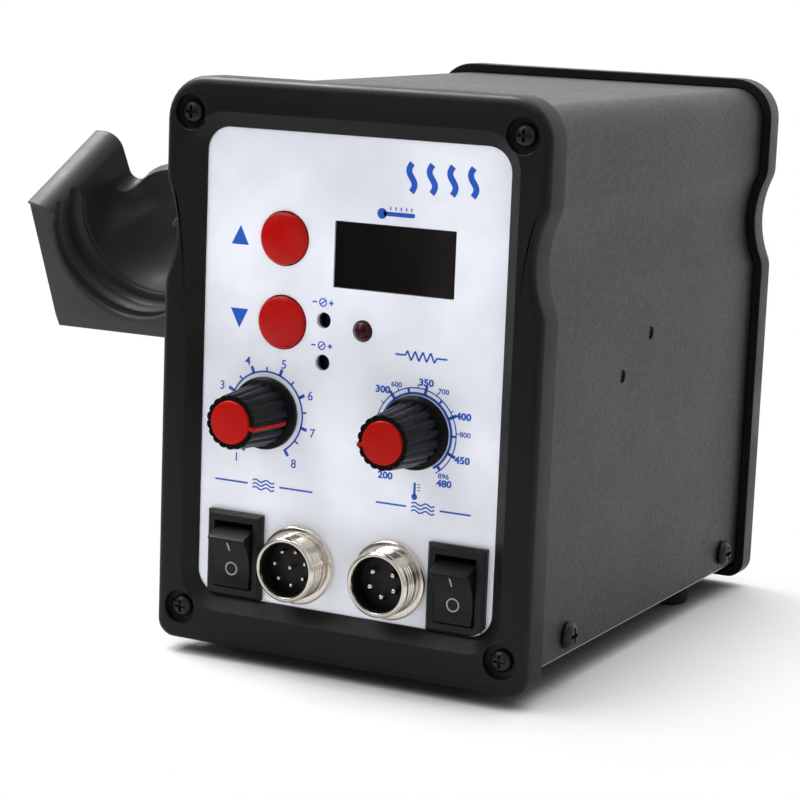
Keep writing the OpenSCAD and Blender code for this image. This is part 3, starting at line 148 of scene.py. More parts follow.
def new_group(name, inputs, outputs):
    """An empty shader node group, its given values and its results."""
    tree = bpy.data.node_groups.new(name, "ShaderNodeTree")
    for label, kind, value in inputs:
        socket = tree.interface.new_socket(label, in_out="INPUT", socket_type="NodeSocket" + kind)
        socket.default_value = value
    for label, kind in outputs:
        tree.interface.new_socket(label, in_out="OUTPUT", socket_type="NodeSocket" + kind)
    given = tree.nodes.new("NodeGroupInput").outputs
    return tree, given, tree.nodes.new("NodeGroupOutput").inputs


# Effects that several finishes share

def make_grain_group():
    """Fine moulded or sprayed grain, with a slow change of tone over it."""
    tree, given, out = new_group(
        "surface_grain",
        [("Scale", "Float", 3000.0), ("Depth", "Float", 0.5), ("Blotch Scale", "Float", 40.0)],
        [("Height", "Float"), ("Tone", "Float"), ("Sheen", "Float")])
    fine = noise(tree, given["Scale"], 3.0)
    coarse = noise(tree, maths(tree, "MULTIPLY", given["Scale"], 0.31))
    blotch = noise(tree, given["Blotch Scale"], 3.0)
    height = maths(tree, "ADD", fine, maths(tree, "MULTIPLY", coarse, 0.6))
    feed(tree, out["Height"], maths(tree, "MULTIPLY", height, given["Depth"]))
    feed(tree, out["Tone"], spread(tree, blotch, 0.3, 0.7))
    feed(tree, out["Sheen"], spread(tree, coarse, 0.3, 0.7))
    return tree


def make_edge_group():
    """Rounded normals at sharp edges, and a mask of those edges."""
    tree, given, out = new_group(
        "soft_edges", [("Radius", "Float", 0.0003)], [("Normal", "Vector"), ("Mask", "Float")])
    rounded = add_node(tree, "ShaderNodeBevel", {"samples": 6}, Radius=given["Radius"]).outputs[0]
    face = tree.nodes.new("ShaderNodeNewGeometry").outputs["Normal"]
    likeness = add_node(tree, "ShaderNodeVectorMath", {"operation": "DOT_PRODUCT"},
                        i0=rounded, i1=face).outputs["Value"]
    feed(tree, out["Normal"], rounded)
    feed(tree, out["Mask"], spread(tree, likeness, 0.995, 0.85))
    return tree


def make_handling_group():
    """Faint smears left by hands, as a shift of the roughness, and a mask of settled dust."""
    tree, given, out = new_group(
        "handling_marks", [("Scale", "Float", 60.0), ("Amount", "Float", 0.08)],
        [("Roughness Shift", "Float"), ("Dust", "Float")])
    smear = noise(tree, given["Scale"], 4.0)
    speck = noise(tree, 900.0)
    swing = spread(tree, smear, 0.35, 0.65, -1.0, 1.0)
    feed(tree, out["Roughness Shift"], maths(tree, "MULTIPLY", swing, given["Amount"]))
    feed(tree, out["Dust"], spread(tree, maths(tree, "MULTIPLY", smear, speck), 0.3, 0.42))
    return tree


def make_drawn_group():
    """Fine lines of rolled or turned metal along one axis, and the cells of a zinc coat."""
    tree, given, out = new_group(
        "drawn_metal",
        [("Stretch", "Vector", (4000.0, 4000.0, 120.0)), ("Spangle Scale", "Float", 320.0)],
        [("Height", "Float"), ("Tone", "Float"), ("Spangle", "Float")])
    place = object_place(tree)
    stretched = add_node(tree, "ShaderNodeVectorMath", {"operation": "MULTIPLY"},
                         i0=place, i1=given["Stretch"]).outputs[0]
    lines = noise(tree, 1.0, 3.0, stretched)
    cells = add_node(tree, "ShaderNodeTexVoronoi", Vector=place, Scale=given["Spangle Scale"])
    cell_tone = add_node(tree, "ShaderNodeSeparateColor", Color=cells.outputs["Color"])
    feed(tree, out["Height"], lines)
    feed(tree, out["Tone"], spread(tree, lines, 0.3, 0.7))
    feed(tree, out["Spangle"], cell_tone.outputs[0])
    return tree


GRAIN = make_grain_group()
EDGES = make_edge_group()
HANDLING = make_handling_group()
DRAWN = make_drawn_group()


def place_group(tree, group, **inputs):
    """The outputs of a node group that is placed with its own values."""
    return add_node(tree, "ShaderNodeGroup", {"node_tree": group}, **inputs).outputs


# Steps that several finishes take, with lengths in millimetres

def new_finish(name, **constants):
    """A material with one Principled shader, whose constant sockets are set here."""
    finish = bpy.data.materials.new(name)
    finish.use_nodes = True
    shader = finish.node_tree.nodes["Principled BSDF"]
    for key, value in constants.items():
        shader.inputs[key.replace("_", " ")].default_value = value
    return finish, finish.node_tree, shader.inputs


def shade(colour, factor):
    """The same colour, lighter or darker."""
    return tuple(min(1.0, c * factor) for c in colour[:3]) + (1.0,)


def worn_roughness(tree, inputs, marks, base, surface, share):
    """Roughness about a base value, shifted by handling and by a share of the surface's own."""
    handled = maths(tree, "ADD", marks["Roughness Shift"], base)
    own = maths(tree, "MULTIPLY", surface, share)
    feed(tree, inputs["Roughness"], maths(tree, "ADD", handled, own))


def cloudy_roughness(tree, inputs, scale, low, high):
    """Roughness that wanders between two values over the surface."""
    feed(tree, inputs["Roughness"], spread(tree, noise(tree, scale), 0.3, 0.7, low, high))


def add_bump(tree, inputs, height, strength, depth, **edges):
    """Bumps of a given depth, over rounded edges where their normal is given."""
    bump = add_node(tree, "ShaderNodeBump", Strength=strength, Distance=depth * MM,
                    Height=height, **edges)
    feed(tree, inputs["Normal"], bump.outputs[0])


# Finishes

def moulded(name, colour, roughness, grain, depth, radius=0.3, specular=0.4, edge_wear_and_highlight=1.5):
    """Moulded plastic, paint or rubber, with a grain and lighter edges, partly wear and partly a
    painted highlight.
    """
    finish, tree, inputs = new_finish(name, Specular_IOR_Level=specular)
    surface = place_group(tree, GRAIN, Scale=grain, Depth=1.0)
    edges = place_group(tree, EDGES, Radius=radius * MM)
    marks = place_group(tree, HANDLING, Amount=0.06)
    body = blend_colours(tree, surface["Tone"], shade(colour, 0.9), shade(colour, 1.1))
    # Edges lighter in colour: partly wear, partly a painted highlight where rounded edges catch the
    # light
    wear_and_highlight = maths(tree, "MULTIPLY", edges["Mask"], 0.5)
    edged = blend_colours(tree, wear_and_highlight, body, shade(colour, edge_wear_and_highlight))
    feed(tree, inputs["Base Color"], edged)
    worn_roughness(tree, inputs, marks, roughness, surface["Sheen"], 0.06)
    add_bump(tree, inputs, surface["Height"], strength=0.6, depth=depth, Normal=edges["Normal"])
    return finish


def plated(name, colour, roughness, stretch=(4000.0, 4000.0, 150.0), spangle=0.0, radius=0.15):
    """Bare or plated metal: drawn lines, a little spangle and lighter soft edges, partly wear and
    partly a painted highlight.
    """
    finish, tree, inputs = new_finish(name, Metallic=1.0)
    lines = place_group(tree, DRAWN, Stretch=stretch)
    edges = place_group(tree, EDGES, Radius=radius * MM)
    marks = place_group(tree, HANDLING, Amount=0.05)
    toned = blend_colours(tree, lines["Tone"], shade(colour, 0.92), shade(colour, 1.06))
    cells = maths(tree, "MULTIPLY", lines["Spangle"], spangle)
    spangled = blend_colours(tree, cells, toned, shade(colour, 0.6))
    # Edges lighter in colour: partly wear, partly a painted highlight where rounded edges catch the
    # light
    wear_and_highlight = maths(tree, "MULTIPLY", edges["Mask"], 0.4)
    edged = blend_colours(tree, wear_and_highlight, spangled, shade(colour, 1.25))
    feed(tree, inputs["Base Color"], edged)
    worn_roughness(tree, inputs, marks, roughness, lines["Tone"], 0.08)
    add_bump(tree, inputs, lines["Height"], strength=0.3, depth=0.002, Normal=edges["Normal"])
    return finish


def powder_coat():
    """Sprayed powder on sheet steel: fine bumps, lighter and darker grains, and a soft sheen."""
    dark_grain = (0.01, 0.0094, 0.0097, 1)
    coat = (0.021, 0.0198, 0.0204, 1)
    light_grain = (0.046, 0.0438, 0.045, 1)
    dust = (0.3, 0.3, 0.29, 1)
    finish, tree, inputs = new_finish("powder_coat", Specular_IOR_Level=0.45)
    surface = place_group(tree, GRAIN, Scale=2400.0, Depth=1.0, Blotch_Scale=25.0)
    edges = place_group(tree, EDGES, Radius=0.5 * MM)
    marks = place_group(tree, HANDLING, Scale=35.0, Amount=0.03)
    grains = noise(tree, 2600.0, 1.0)
    dark = blend_colours(tree, spread(tree, grains, 0.36, 0.5), dark_grain, coat)
    light = blend_colours(tree, spread(tree, grains, 0.56, 0.7), dark, light_grain)
    settled = maths(tree, "MULTIPLY", marks["Dust"], 0.05)
    feed(tree, inputs["Base Color"], blend_colours(tree, settled, light, dust))
    worn_roughness(tree, inputs, marks, 0.42, surface["Sheen"], 0.1)
    add_bump(tree, inputs, surface["Height"], strength=0.5, depth=0.04, Normal=edges["Normal"])
    return finish


def window_finish():
    """Dark tinted acrylic, nearly black, with faint smears in its gloss."""
    finish, tree, inputs = new_finish("window_acrylic", Specular_IOR_Level=0.3)
    marks = place_group(tree, HANDLING, Scale=90.0, Amount=0.05)
    edges = place_group(tree, EDGES, Radius=0.2 * MM)
    tint = blend_colours(tree, noise(tree, 70.0), (0.004, 0.003, 0.003, 1),
                         (0.007, 0.005, 0.005, 1))
    feed(tree, inputs["Base Color"], tint)
    feed(tree, inputs["Roughness"], maths(tree, "ADD", marks["Roughness Shift"], 0.12))
    feed(tree, inputs["Normal"], edges["Normal"])
    return finish


def lamp_finish():
    """Clear dark red epoxy, darkest where it is looked straight into."""
    finish, tree, inputs = new_finish("lamp_epoxy", Specular_IOR_Level=0.25)
    facing = add_node(tree, "ShaderNodeLayerWeight", Blend=0.35).outputs["Facing"]
    depth = blend_colours(tree, facing, (0.03, 0.002, 0.004, 1), (0.1, 0.008, 0.014, 1))
    cloud = blend_colours(tree, noise(tree, 500.0), (0.8, 0.8, 0.8, 1), WHITE)
    feed(tree, inputs["Base Color"], blend_colours(tree, 1.0, depth, cloud, "MULTIPLY"))
    cloudy_roughness(tree, inputs, 300.0, 0.1, 0.2)
    return finish


def board_finish():
    """Green solder mask with the tracks showing through as slightly raised, lighter lines."""
    finish, tree, inputs = new_finish("solder_mask", Coat_Weight=0.4, Coat_Roughness=0.15)
    tracks = add_node(tree, "ShaderNodeTexBrick", {"offset": 0.37}, Vector=object_place(tree),
                      Scale=90.0, Mortar_Size=0.03).outputs["Fac"]
    mask = blend_colours(tree, tracks, (0.01, 0.11, 0.04, 1), (0.03, 0.2, 0.07, 1))
    feed(tree, inputs["Base Color"], mask)
    cloudy_roughness(tree, inputs, 80.0, 0.3, 0.45)
    add_bump(tree, inputs, tracks, strength=0.3, depth=0.03)
    return finish


def core_finish():
    """Stacked steel laminations under varnish."""
    finish, tree, inputs = new_finish("laminations", Metallic=0.7)
    sheets = add_node(tree, "ShaderNodeTexWave", {"bands_direction": "Y"},
                      Vector=object_place(tree), Scale=320.0, Distortion=0.3).outputs["Fac"]
    steel = blend_colours(tree, sheets, (0.1, 0.1, 0.11, 1), (0.28, 0.28, 0.29, 1))
    feed(tree, inputs["Base Color"], steel)
    cloudy_roughness(tree, inputs, 60.0, 0.35, 0.5)
    add_bump(tree, inputs, sheets, strength=0.5, depth=0.05)
    return finish


def winding_finish():
    """Amber tape wound round the copper, in overlapping turns."""
    finish, tree, inputs = new_finish("winding_tape", Coat_Weight=0.5, Coat_Roughness=0.2)
    turns = add_node(tree, "ShaderNodeTexWave", {"bands_direction": "Z", "wave_profile": "SAW"},
                     Vector=object_place(tree), Scale=60.0, Distortion=0.6).outputs["Fac"]
    tape = blend_colours(tree, turns, (0.45, 0.2, 0.02, 1), (0.62, 0.33, 0.05, 1))
    feed(tree, inputs["Base Color"], tape)
    cloudy_roughness(tree, inputs, 120.0, 0.3, 0.5)
    add_bump(tree, inputs, turns, strength=0.5, depth=0.08)
    return finish


def fuse_finish():
    """Pale glossy tube between two metal end caps."""
    finish, tree, inputs = new_finish("fuse_tube", Coat_Weight=0.5)
    middle_x = middle("fuse").x * MM + HOUSING.x
    along = add_node(tree, "ShaderNodeSeparateXYZ", Vector=object_place(tree)).outputs[0]
    from_middle = maths(tree, "ABSOLUTE", maths(tree, "SUBTRACT", along, middle_x))
    cap = maths(tree, "GREATER_THAN", from_middle, 5.5 * MM)
    tone = blend_colours(tree, cap, (0.75, 0.8, 0.8, 1), (0.6, 0.58, 0.52, 1))
    feed(tree, inputs["Base Color"], tone)
    feed(tree, inputs["Metallic"], cap)
    cloudy_roughness(tree, inputs, 200.0, 0.1, 0.3)
    return finish


# Moulded: colour, roughness, scale of the grain, its depth, radius of the edges
# Plated: colour, roughness, how the drawn lines are stretched
ACROSS_X = (300.0, 6000.0, 6000.0)
FINISHES = {
    "bezel": moulded("bezel_plastic", (0.008, 0.008, 0.0087), 0.36, 2600.0, 0.012, 0.5,
                     specular=0.2),
    "panel": moulded("panel_paint", (0.80, 0.825, 0.89), 0.4, 5000.0, 0.003, 0.15,
                     specular=0.3, edge_wear_and_highlight=1.05),
    "chassis": plated("galvanised_sheet", (0.52, 0.53, 0.55), 0.32, ACROSS_X, spangle=0.25),
    "cover": powder_coat(),
    "black_screws": moulded("black_oxide", (0.006, 0.006, 0.0063), 0.3, 4000.0, 0.004, 0.2,
                            edge_wear_and_highlight=4),
    "rubber": moulded("foot_rubber", (0.01, 0.01, 0.01), 0.75, 2500.0, 0.02, 0.4, specular=0.3),
    "zinc": plated("bright_zinc", (0.62, 0.63, 0.66), 0.25),
    "holder": moulded("holder_plastic", (0.034, 0.0332, 0.035), 0.4, 2200.0, 0.02, 0.6,
                      specular=0.22),
    "window": window_finish(),
    "dark_plastic": moulded("black_nylon", (0.005, 0.005, 0.0052), 0.5, 3000.0, 0.01, 0.2,
                            specular=0.12),
    "board": board_finish(),
    "brass": plated("turned_brass", (0.72, 0.5, 0.2), 0.28),
    "button": moulded("button_plastic", (0.41, 0.003, 0.0015), 0.2, 4000.0, 0.003,
                      specular=0.2),
    "lamp": lamp_finish(),
    "trimmer": moulded("trimmer_plastic", (0.02, 0.1, 0.42), 0.45, 3000.0, 0.008, 0.2),
    "knob": moulded("knob_plastic", (0.002, 0.002, 0.0022), 0.28, 3500.0, 0.008, 0.15,
                    specular=0.12, edge_wear_and_highlight=5),
    "knob_cap": moulded("cap_plastic", (0.38, 0.004, 0.002), 0.3, 4500.0, 0.004, 0.25,
                        specular=0.1),
    "switch_black": moulded("switch_nylon", (0.0085, 0.0085, 0.009), 0.38, 3000.0, 0.01,
                            specular=0.25),
    "socket_metal": plated("nickel_plate", (0.82, 0.76, 0.68), 0.14, radius=0.1),
    "core": core_finish(),
    "winding": winding_finish(),
    "heat_sink": plated("anodised_aluminium", (0.42, 0.43, 0.45), 0.36, (200.0, 5000.0, 5000.0)),
    "fuse_glass": fuse_finish(),
}
PRINT_BLUE = moulded("print_ink", (0.004, 0.085, 0.5), 0.4, 5000.0, 0.002, 0.02, edge_wear_and_highlight=1.0)
MARK_GREY = moulded("mark_ink", (0.3, 0.31, 0.33), 0.5, 5000.0, 0.002, 0.02, edge_wear_and_highlight=1.0)


def dress_nodes():
    """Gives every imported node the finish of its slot."""
    for name, node in NODES.items():
        node.data.materials.clear()
        node.data.materials.append(FINISHES[SLOT_OF[name]])


# Pieces that stand for a node: its own shape with smooth curves and rounded edges

SMOOTH_ANGLE = math.radians(32)
FLAT_ANGLE = math.radians(0.4)
WELD = 0.00001


def new_piece(name, mesh, body):
    """A piece at the origin that rides on a body."""
    piece = bpy.data.objects.new(name, mesh)
    bpy.context.scene.collection.objects.link(piece)
    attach(piece, body)
    return piece


def smooth_mesh(shape, name, angle):
    """Turns a bmesh into a mesh that is smooth except at edges sharper than the angle."""
    for face in shape.faces:
        face.smooth = True
    for edge in shape.edges:
        edge.smooth = len(edge.link_faces) == 2 and edge.calc_face_angle(math.pi) < angle
    mesh = bpy.data.meshes.new(name)
    shape.to_mesh(mesh)
    shape.free()
    return mesh


def join_rings(shape, ring, after):
    """Quads between two closed rings of vertices."""
    for i, vert in enumerate(ring):
        k = (i + 1) % len(ring)
        shape.faces.new((vert, ring[k], after[k], after[i]))


def welded_mesh(node):
    """The node's triangles joined into one skin, with flat faces whole and curves smooth."""
    shape = bmesh.new()
    shape.from_mesh(NODES[node].data)
    bmesh.ops.remove_doubles(shape, verts=shape.verts, dist=WELD)
    bmesh.ops.dissolve_limit(shape, angle_limit=FLAT_ANGLE, verts=shape.verts, edges=shape.edges)
    return smooth_mesh(shape, node + "_skin", SMOOTH_ANGLE)


def soften(node, radius):
    """Puts a copy with edges rounded to a radius in millimetres in the node's place."""
    mesh = welded_mesh(node)
    mesh.materials.append(FINISHES[SLOT_OF[node]])
    piece = new_piece(node + "_moulding", mesh, BODY_OF[node])
    if radius > 0:
        edges = piece.modifiers.new("rounded_edges", "BEVEL")
        edges.width = radius * MM
        edges.segments = 2
        edges.limit_method = "ANGLE"
        edges.angle_limit = SMOOTH_ANGLE
        edges.harden_normals = True
    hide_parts(node)


# Radius in millimetres of the rounded edges on each node's copy; 0 leaves them sharp
EDGE_RADII = {
    "front_bezel": 0.35, "rear_bezel": 0.35, "cover": 0.12, "handle_holder": 0.4,
    "front_panel": 0.06, "display_window": 0.12, "button_up_cap": 0.12, "button_down_cap": 0.12,
    "heater_lamp": 0.0, "airflow_knob": 0.12, "temperature_knob": 0.12, "airflow_knob_cap": 0.12,
    "temperature_knob_cap": 0.12, "rework_switch_frame": 0.2, "iron_switch_frame": 0.2,
    "rework_rocker": 0.25, "iron_rocker": 0.25, "rework_socket_insert": 0.08,
    "iron_socket_insert": 0.08, "rework_socket_pins": 0.0, "iron_socket_pins": 0.0,
    "feet": 0.3, "cover_screws": 0.08, "front_bezel_screws": 0.08, "rear_bezel_screws": 0.08,
    "holder_screws": 0.08, "foot_screws": 0.08, "mains_inlet": 0.25, "fuse_drawer": 0.25,
    "holder_magnet": 0.15, "inlet_blades": 0.15, "chassis": 0.08,
}


def soften_nodes():
    """Rounded copies of the nodes that show."""
    for node, radius in EDGE_RADII.items():
        soften(node, radius)


# Printing on the panel: flat shapes in millimetres, x to the right and z up

INK_T = 0.04
DIGIT_SHARE = 0.69        # height of a digit in a font of size 1


def band(points, width):
    """Outline of a stroke of even width along points, with square ends."""
    left, right = [], []
    for i, point in enumerate(points):
        here = Vector(point)
        before = Vector(points[max(i - 1, 0)])
        after = Vector(points[min(i + 1, len(points) - 1)])
        run = (after - before).normalized()
        side = Vector((-run.y, run.x)) * width / 2
        left.append(here + side)
        right.append(here - side)
    return left + right[::-1]


def arc_points(centre, radius, start, end, steps):
    """Points on an arc; angles are in degrees, from the right and anticlockwise."""
    angles = [math.radians(start + (end - start) * i / steps) for i in range(steps + 1)]
    return [(centre[0] + radius * math.cos(a), centre[1] + radius * math.sin(a)) for a in angles]


def strip_faces(points, width):
    """A stroke cut into quads, so that it may bend round without crossing itself."""
    ring = band(points, width)
    n = len(points)
    return [[ring[i], ring[i + 1], ring[2 * n - 2 - i], ring[2 * n - 1 - i]] for i in range(n - 1)]


def wave_points(x0, z0, length, swing, turns, upright=False, steps=28):
    """A wavy line of full turns, lying along x or standing along z."""
    points = []
    for i in range(steps + 1):
        along = length * i / steps
        off = swing * math.sin(2 * math.pi * turns * i / steps)
        points.append((x0 + off, z0 + along) if upright else (x0 + along, z0 + off))
    return points


def flat_on_panel(co):
    """Where a vertex of ink lies on the front panel's face."""
    return at(co.x, PANEL_FACE_Y + co.y, co.z)


def ink_mesh(name, faces, finish, lay):
    """Thin solid from flat faces, each a list of (x, z), put on a surface by the function lay."""
    shape = bmesh.new()
    for face in faces:
        shape.faces.new([shape.verts.new((x, 0, z)) for x, z in face])
    bmesh.ops.remove_doubles(shape, verts=shape.verts, dist=0.001)
    bmesh.ops.recalc_face_normals(shape, faces=shape.faces)
    if shape.faces and shape.faces[0].normal.y > 0:
        bmesh.ops.reverse_faces(shape, faces=shape.faces)
    made = bmesh.ops.extrude_face_region(shape, geom=shape.faces[:])
    moved = [item for item in made["geom"] if isinstance(item, bmesh.types.BMVert)]
    bmesh.ops.translate(shape, verts=moved, vec=(0, -INK_T, 0))
    bmesh.ops.recalc_face_normals(shape, faces=shape.faces)
    for vert in shape.verts:
        vert.co = lay(vert.co)
    mesh = bpy.data.meshes.new(name)
    shape.to_mesh(mesh)
    shape.free()
    mesh.materials.append(finish)
    return mesh


def digits(text, height, x, z, weight, stretch=1.0):
    """Faces of a plain number whose own middle lies at (x, z)."""
    curve = bpy.data.curves.new("digits", "FONT")
    curve.body = text
    curve.size = height / DIGIT_SHARE
    curve.offset = weight
    curve.resolution_u = 3
    writer = bpy.data.objects.new("digits", curve)
    bpy.context.scene.collection.objects.link(writer)
    graph = bpy.context.evaluated_depsgraph_get()
    mesh = bpy.data.meshes.new_from_object(writer.evaluated_get(graph))
    across = [v.co.x for v in mesh.vertices]
    upright = [v.co.y for v in mesh.vertices]
    middle_x = (min(across) + max(across)) / 2
    middle_y = (min(upright) + max(upright)) / 2
    points = [((v.co.x - middle_x) * stretch + x, v.co.y - middle_y + z) for v in mesh.vertices]
    faces = [[points[i] for i in face.vertices] for face in mesh.polygons]
    bpy.data.objects.remove(writer)
    bpy.data.meshes.remove(mesh)
    return faces


STROKE_INPUTS = [
    ("Geometry", "Geometry"), ("Count", "Int"), ("Centre", "Vector"), ("Inner Radius", "Float"),
    ("Outer Radius", "Float"), ("Width", "Float"), ("Thickness", "Float"),
    ("First Angle", "Float"), ("Step Angle", "Float"), ("Ink", "Material"),
]


def make_stroke_tree():
    """Geometry nodes that lay even strokes round a centre, as on a dial."""
    tree = bpy.data.node_groups.new("dial_strokes", "GeometryNodeTree")
    for label, kind in STROKE_INPUTS:
        tree.interface.new_socket(label, in_out="INPUT", socket_type="NodeSocket" + kind)
    tree.interface.new_socket("Geometry", in_out="OUTPUT", socket_type="NodeSocketGeometry")
    given = tree.nodes.new("NodeGroupInput").outputs
    index = tree.nodes.new("GeometryNodeInputIndex").outputs[0]
    turned = maths(tree, "MULTIPLY", index, given["Step Angle"])
    angle = maths(tree, "ADD", turned, given["First Angle"])
    both_radii = maths(tree, "ADD", given["Inner Radius"], given["Outer Radius"])
    reach = maths(tree, "MULTIPLY", both_radii, 0.5)
    offset = add_node(tree, "ShaderNodeCombineXYZ",
                      X=maths(tree, "MULTIPLY", maths(tree, "COSINE", angle), reach),
                      Z=maths(tree, "MULTIPLY", maths(tree, "SINE", angle), reach))
    place = add_node(tree, "ShaderNodeVectorMath", {"operation": "ADD"},
                     i0=offset.outputs[0], i1=given["Centre"])
    points = add_node(tree, "GeometryNodePoints", Count=given["Count"], Position=place.outputs[0])
    length = maths(tree, "SUBTRACT", given["Outer Radius"], given["Inner Radius"])
    size = add_node(tree, "ShaderNodeCombineXYZ", X=length, Y=given["Thickness"],
                    Z=given["Width"])
    stroke = add_node(tree, "GeometryNodeMeshCube", Size=size.outputs[0])
    lean = add_node(tree, "ShaderNodeCombineXYZ", Y=maths(tree, "MULTIPLY", angle, -1.0))
    rotation = add_node(tree, "FunctionNodeEulerToRotation", Euler=lean.outputs[0])
    strokes = add_node(tree, "GeometryNodeInstanceOnPoints", Points=points.outputs[0],
                       Instance=stroke.outputs[0], Rotation=rotation.outputs[0])
    solid = add_node(tree, "GeometryNodeRealizeInstances", Geometry=strokes.outputs[0])
    inked = add_node(tree, "GeometryNodeSetMaterial", Geometry=solid.outputs[0],
                     Material=given["Ink"])
    tree.links.new(inked.outputs[0], tree.nodes.new("NodeGroupOutput").inputs[0])
    return tree


def grow_mesh(name, tree, values):
    """The plain mesh that a geometry nodes tree makes from named inputs."""
    seed = bpy.data.objects.new(name, bpy.data.meshes.new(name + "_seed"))
    bpy.context.scene.collection.objects.link(seed)
    modifier = seed.modifiers.new("grow", "NODES")
    modifier.node_group = tree
    for item in tree.interface.items_tree:
        if item.item_type == "SOCKET" and item.in_out == "INPUT" and item.name in values:
            modifier[item.identifier] = values[item.name]
    graph = bpy.context.evaluated_depsgraph_get()
    mesh = bpy.data.meshes.new_from_object(seed.evaluated_get(graph))
    seed.modifiers.remove(modifier)
    bpy.data.objects.remove(seed)
    return mesh


STROKES = make_stroke_tree()


def dial_strokes(name, centre, inner, outer, width, first, step, count):
    """A piece of even strokes round a knob; lengths are in millimetres and angles in degrees."""
    mesh = grow_mesh(name, STROKES, {
        "Count": count, "Centre": at(centre[0], PANEL_FACE_Y, centre[1]),
        "Inner Radius": inner * MM, "Outer Radius": outer * MM,
        "Width": width * MM, "Thickness": 2 * INK_T * MM,
        "First Angle": math.radians(first), "Step Angle": math.radians(step), "Ink": PRINT_BLUE})
    new_piece(name, mesh, "station")


# Where each number sits, in millimetres from the middle of its knob
AIRFLOW_NUMBERS = {1: (-7.9, -11.6), 2: (-12.9, -3.7), 3: (-12.3, 5.4), 4: (-5.4, 12.0),
                   5: (4.5, 12.1), 6: (11.9, 5.4), 7: (12.8, -3.5), 8: (7.9, -11.4)}
BOLD_NUMBERS = {200: (-7.5, -11.0), 300: (-8.9, 9.2), 350: (2.3, 11.9), 400: (12.1, 5.1),
                450: (12.2, -5.1), 480: (7.8, -11.1)}
FINE_NUMBERS = {600: (-5.4, 10.7), 700: (6.8, 10.3), 800: (12.7, 0.9), 896: (7.6, -9.4)}


def placed_digits(numbers, centre, height, **style):
    """Faces of all the numbers round a dial."""
    faces = []
    for value, (dx, dz) in numbers.items():
        faces += digits(str(value), height, centre[0] + dx, centre[1] + dz, **style)
    return faces


def dial_centre(shaft):
    """Middle of a knob's shaft as (x, z)."""
    return middle(shaft).x, middle(shaft).z


def airflow_dial():
    """Dial from 1 to 8 round the left knob, with half marks between the numbers."""
    centre = dial_centre("airflow_shaft")
    ring_r, first, step, count = 9.9, 238.2, -42.2, 8
    dial_strokes("airflow_marks", centre, ring_r - 0.2, ring_r + 1.7, 0.78, first, step, count)
    dial_strokes("airflow_half_marks", centre, ring_r, ring_r + 1.15, 0.42, first + step / 2,
                 step, count - 1)
    faces = strip_faces(arc_points(centre, ring_r, first, first + step * (count - 1), 60), 0.44)
    return faces + placed_digits(AIRFLOW_NUMBERS, centre, 2.05, weight=0.03)


def temperature_dial():
    """Dial with a bold inner scale and a fine outer one, in two units."""
    centre = dial_centre("temperature_shaft")
    inner_r, outer_r, first, last = 9.2, 10.45, 232, -58
    bold_first, bold_step, bold_width = 128.2, -50.9, 0.75
    fine_first, fine_step, fine_width = 145.0, -28.0, 0.24
    dial_strokes("temperature_marks", centre, inner_r, outer_r + 1.0, bold_width, bold_first,
                 bold_step, 4)
    dial_strokes("temperature_half_marks", centre, inner_r, outer_r, 0.55,
                 bold_first + bold_step / 2, bold_step, 3)
    dial_strokes("temperature_end_mark", centre, inner_r, outer_r, bold_width, -50.5,
                 bold_step, 1)
    dial_strokes("temperature_fine_marks", centre, outer_r, outer_r + 0.8, fine_width,
                 fine_first, fine_step, 6)
    faces = strip_faces(arc_points(centre, inner_r, first, last, 60), 0.6)
    faces += strip_faces(arc_points(centre, outer_r, first, last, 60), 0.3)
    faces += placed_digits(BOLD_NUMBERS, centre, 1.55, weight=0.09, stretch=1.15)
    faces += placed_digits(FINE_NUMBERS, centre, 1.15, weight=0.035, stretch=1.15)
    return faces + dial_sign(centre[0] + 0.3, centre[1] - outer_r - 3.2)


def dial_sign(x, z):
    """Small upright thermometer under the temperature dial."""
    bulb = arc_points((x, z - 1.5), 0.75, 0, 360, 20)[:-1]
    stem = arc_points((x, z + 1.6), 0.3, 0, 180, 8) + [(x - 0.3, z - 1.2), (x + 0.3, z - 1.2)]
    heights = [z + 0.1 + i * 0.7 for i in range(3)]
    return [bulb, stem] + [band([(x + 0.7, h), (x + 1.5, h)], 0.2) for h in heights]


def arrow_marks():
    """Up and down triangles beside the two buttons."""
    up = [(-32.7, 97.9), (-28.0, 97.9), (-30.3, 102.5)]
    down = [(-32.5, 82.65), (-30.05, 78.0), (-27.7, 82.65)]
    return [up, down]


def heat_sign():
    """Four bold wavy strokes, the plain sign for hot air."""
    faces = []
    for i in range(4):
        faces += strip_faces(wave_points(14.5 + i * 5.2, 113.6, 6.6, 0.75, 1.0, upright=True), 1.5)
    return faces


def thermometer_sign():
    """Lying thermometer over the display."""
    tube = arc_points((15.2, 108.2), 0.5, -90, 90, 8) + [(7.6, 108.7), (7.6, 107.7)]
    bulb = arc_points((7.2, 108.2), 1.25, 0, 360, 24)[:-1]
    marks = [band([(9.4 + i * 1.35, 109.1), (9.4 + i * 1.35, 109.9)], 0.3) for i in range(5)]
    return [tube, bulb] + marks


def trim_sign(z):
    """Minus, slotted screw and plus over a trimmer hole."""
    x = -7.5
    ring = strip_faces(arc_points((x, z), 0.9, 0, 360, 24), 0.3)
    slot = band([(x - 0.6, z - 0.45), (x + 0.6, z + 0.45)], 0.3)
    minus = band([(x - 2.8, z), (x - 1.6, z)], 0.34)
    plus = band([(x + 1.6, z), (x + 2.8, z)], 0.34)
    upright = band([(x + 2.2, z - 0.6), (x + 2.2, z + 0.6)], 0.34)
    return ring + [slot, minus, plus, upright]


def heater_sign():
    """Zigzag of a heating wire beside the lamp."""
    middle_z, swing, pitch = 76.1, 1.1, 1.0
    points = [(12.0, middle_z), (14.6, middle_z)]
    points += [(15.1 + i * pitch, middle_z + (swing if i % 2 == 0 else -swing)) for i in range(8)]
    points += [(22.7, middle_z), (25.4, middle_z)]
    return [band([a, b], 0.42) for a, b in zip(points, points[1:])]


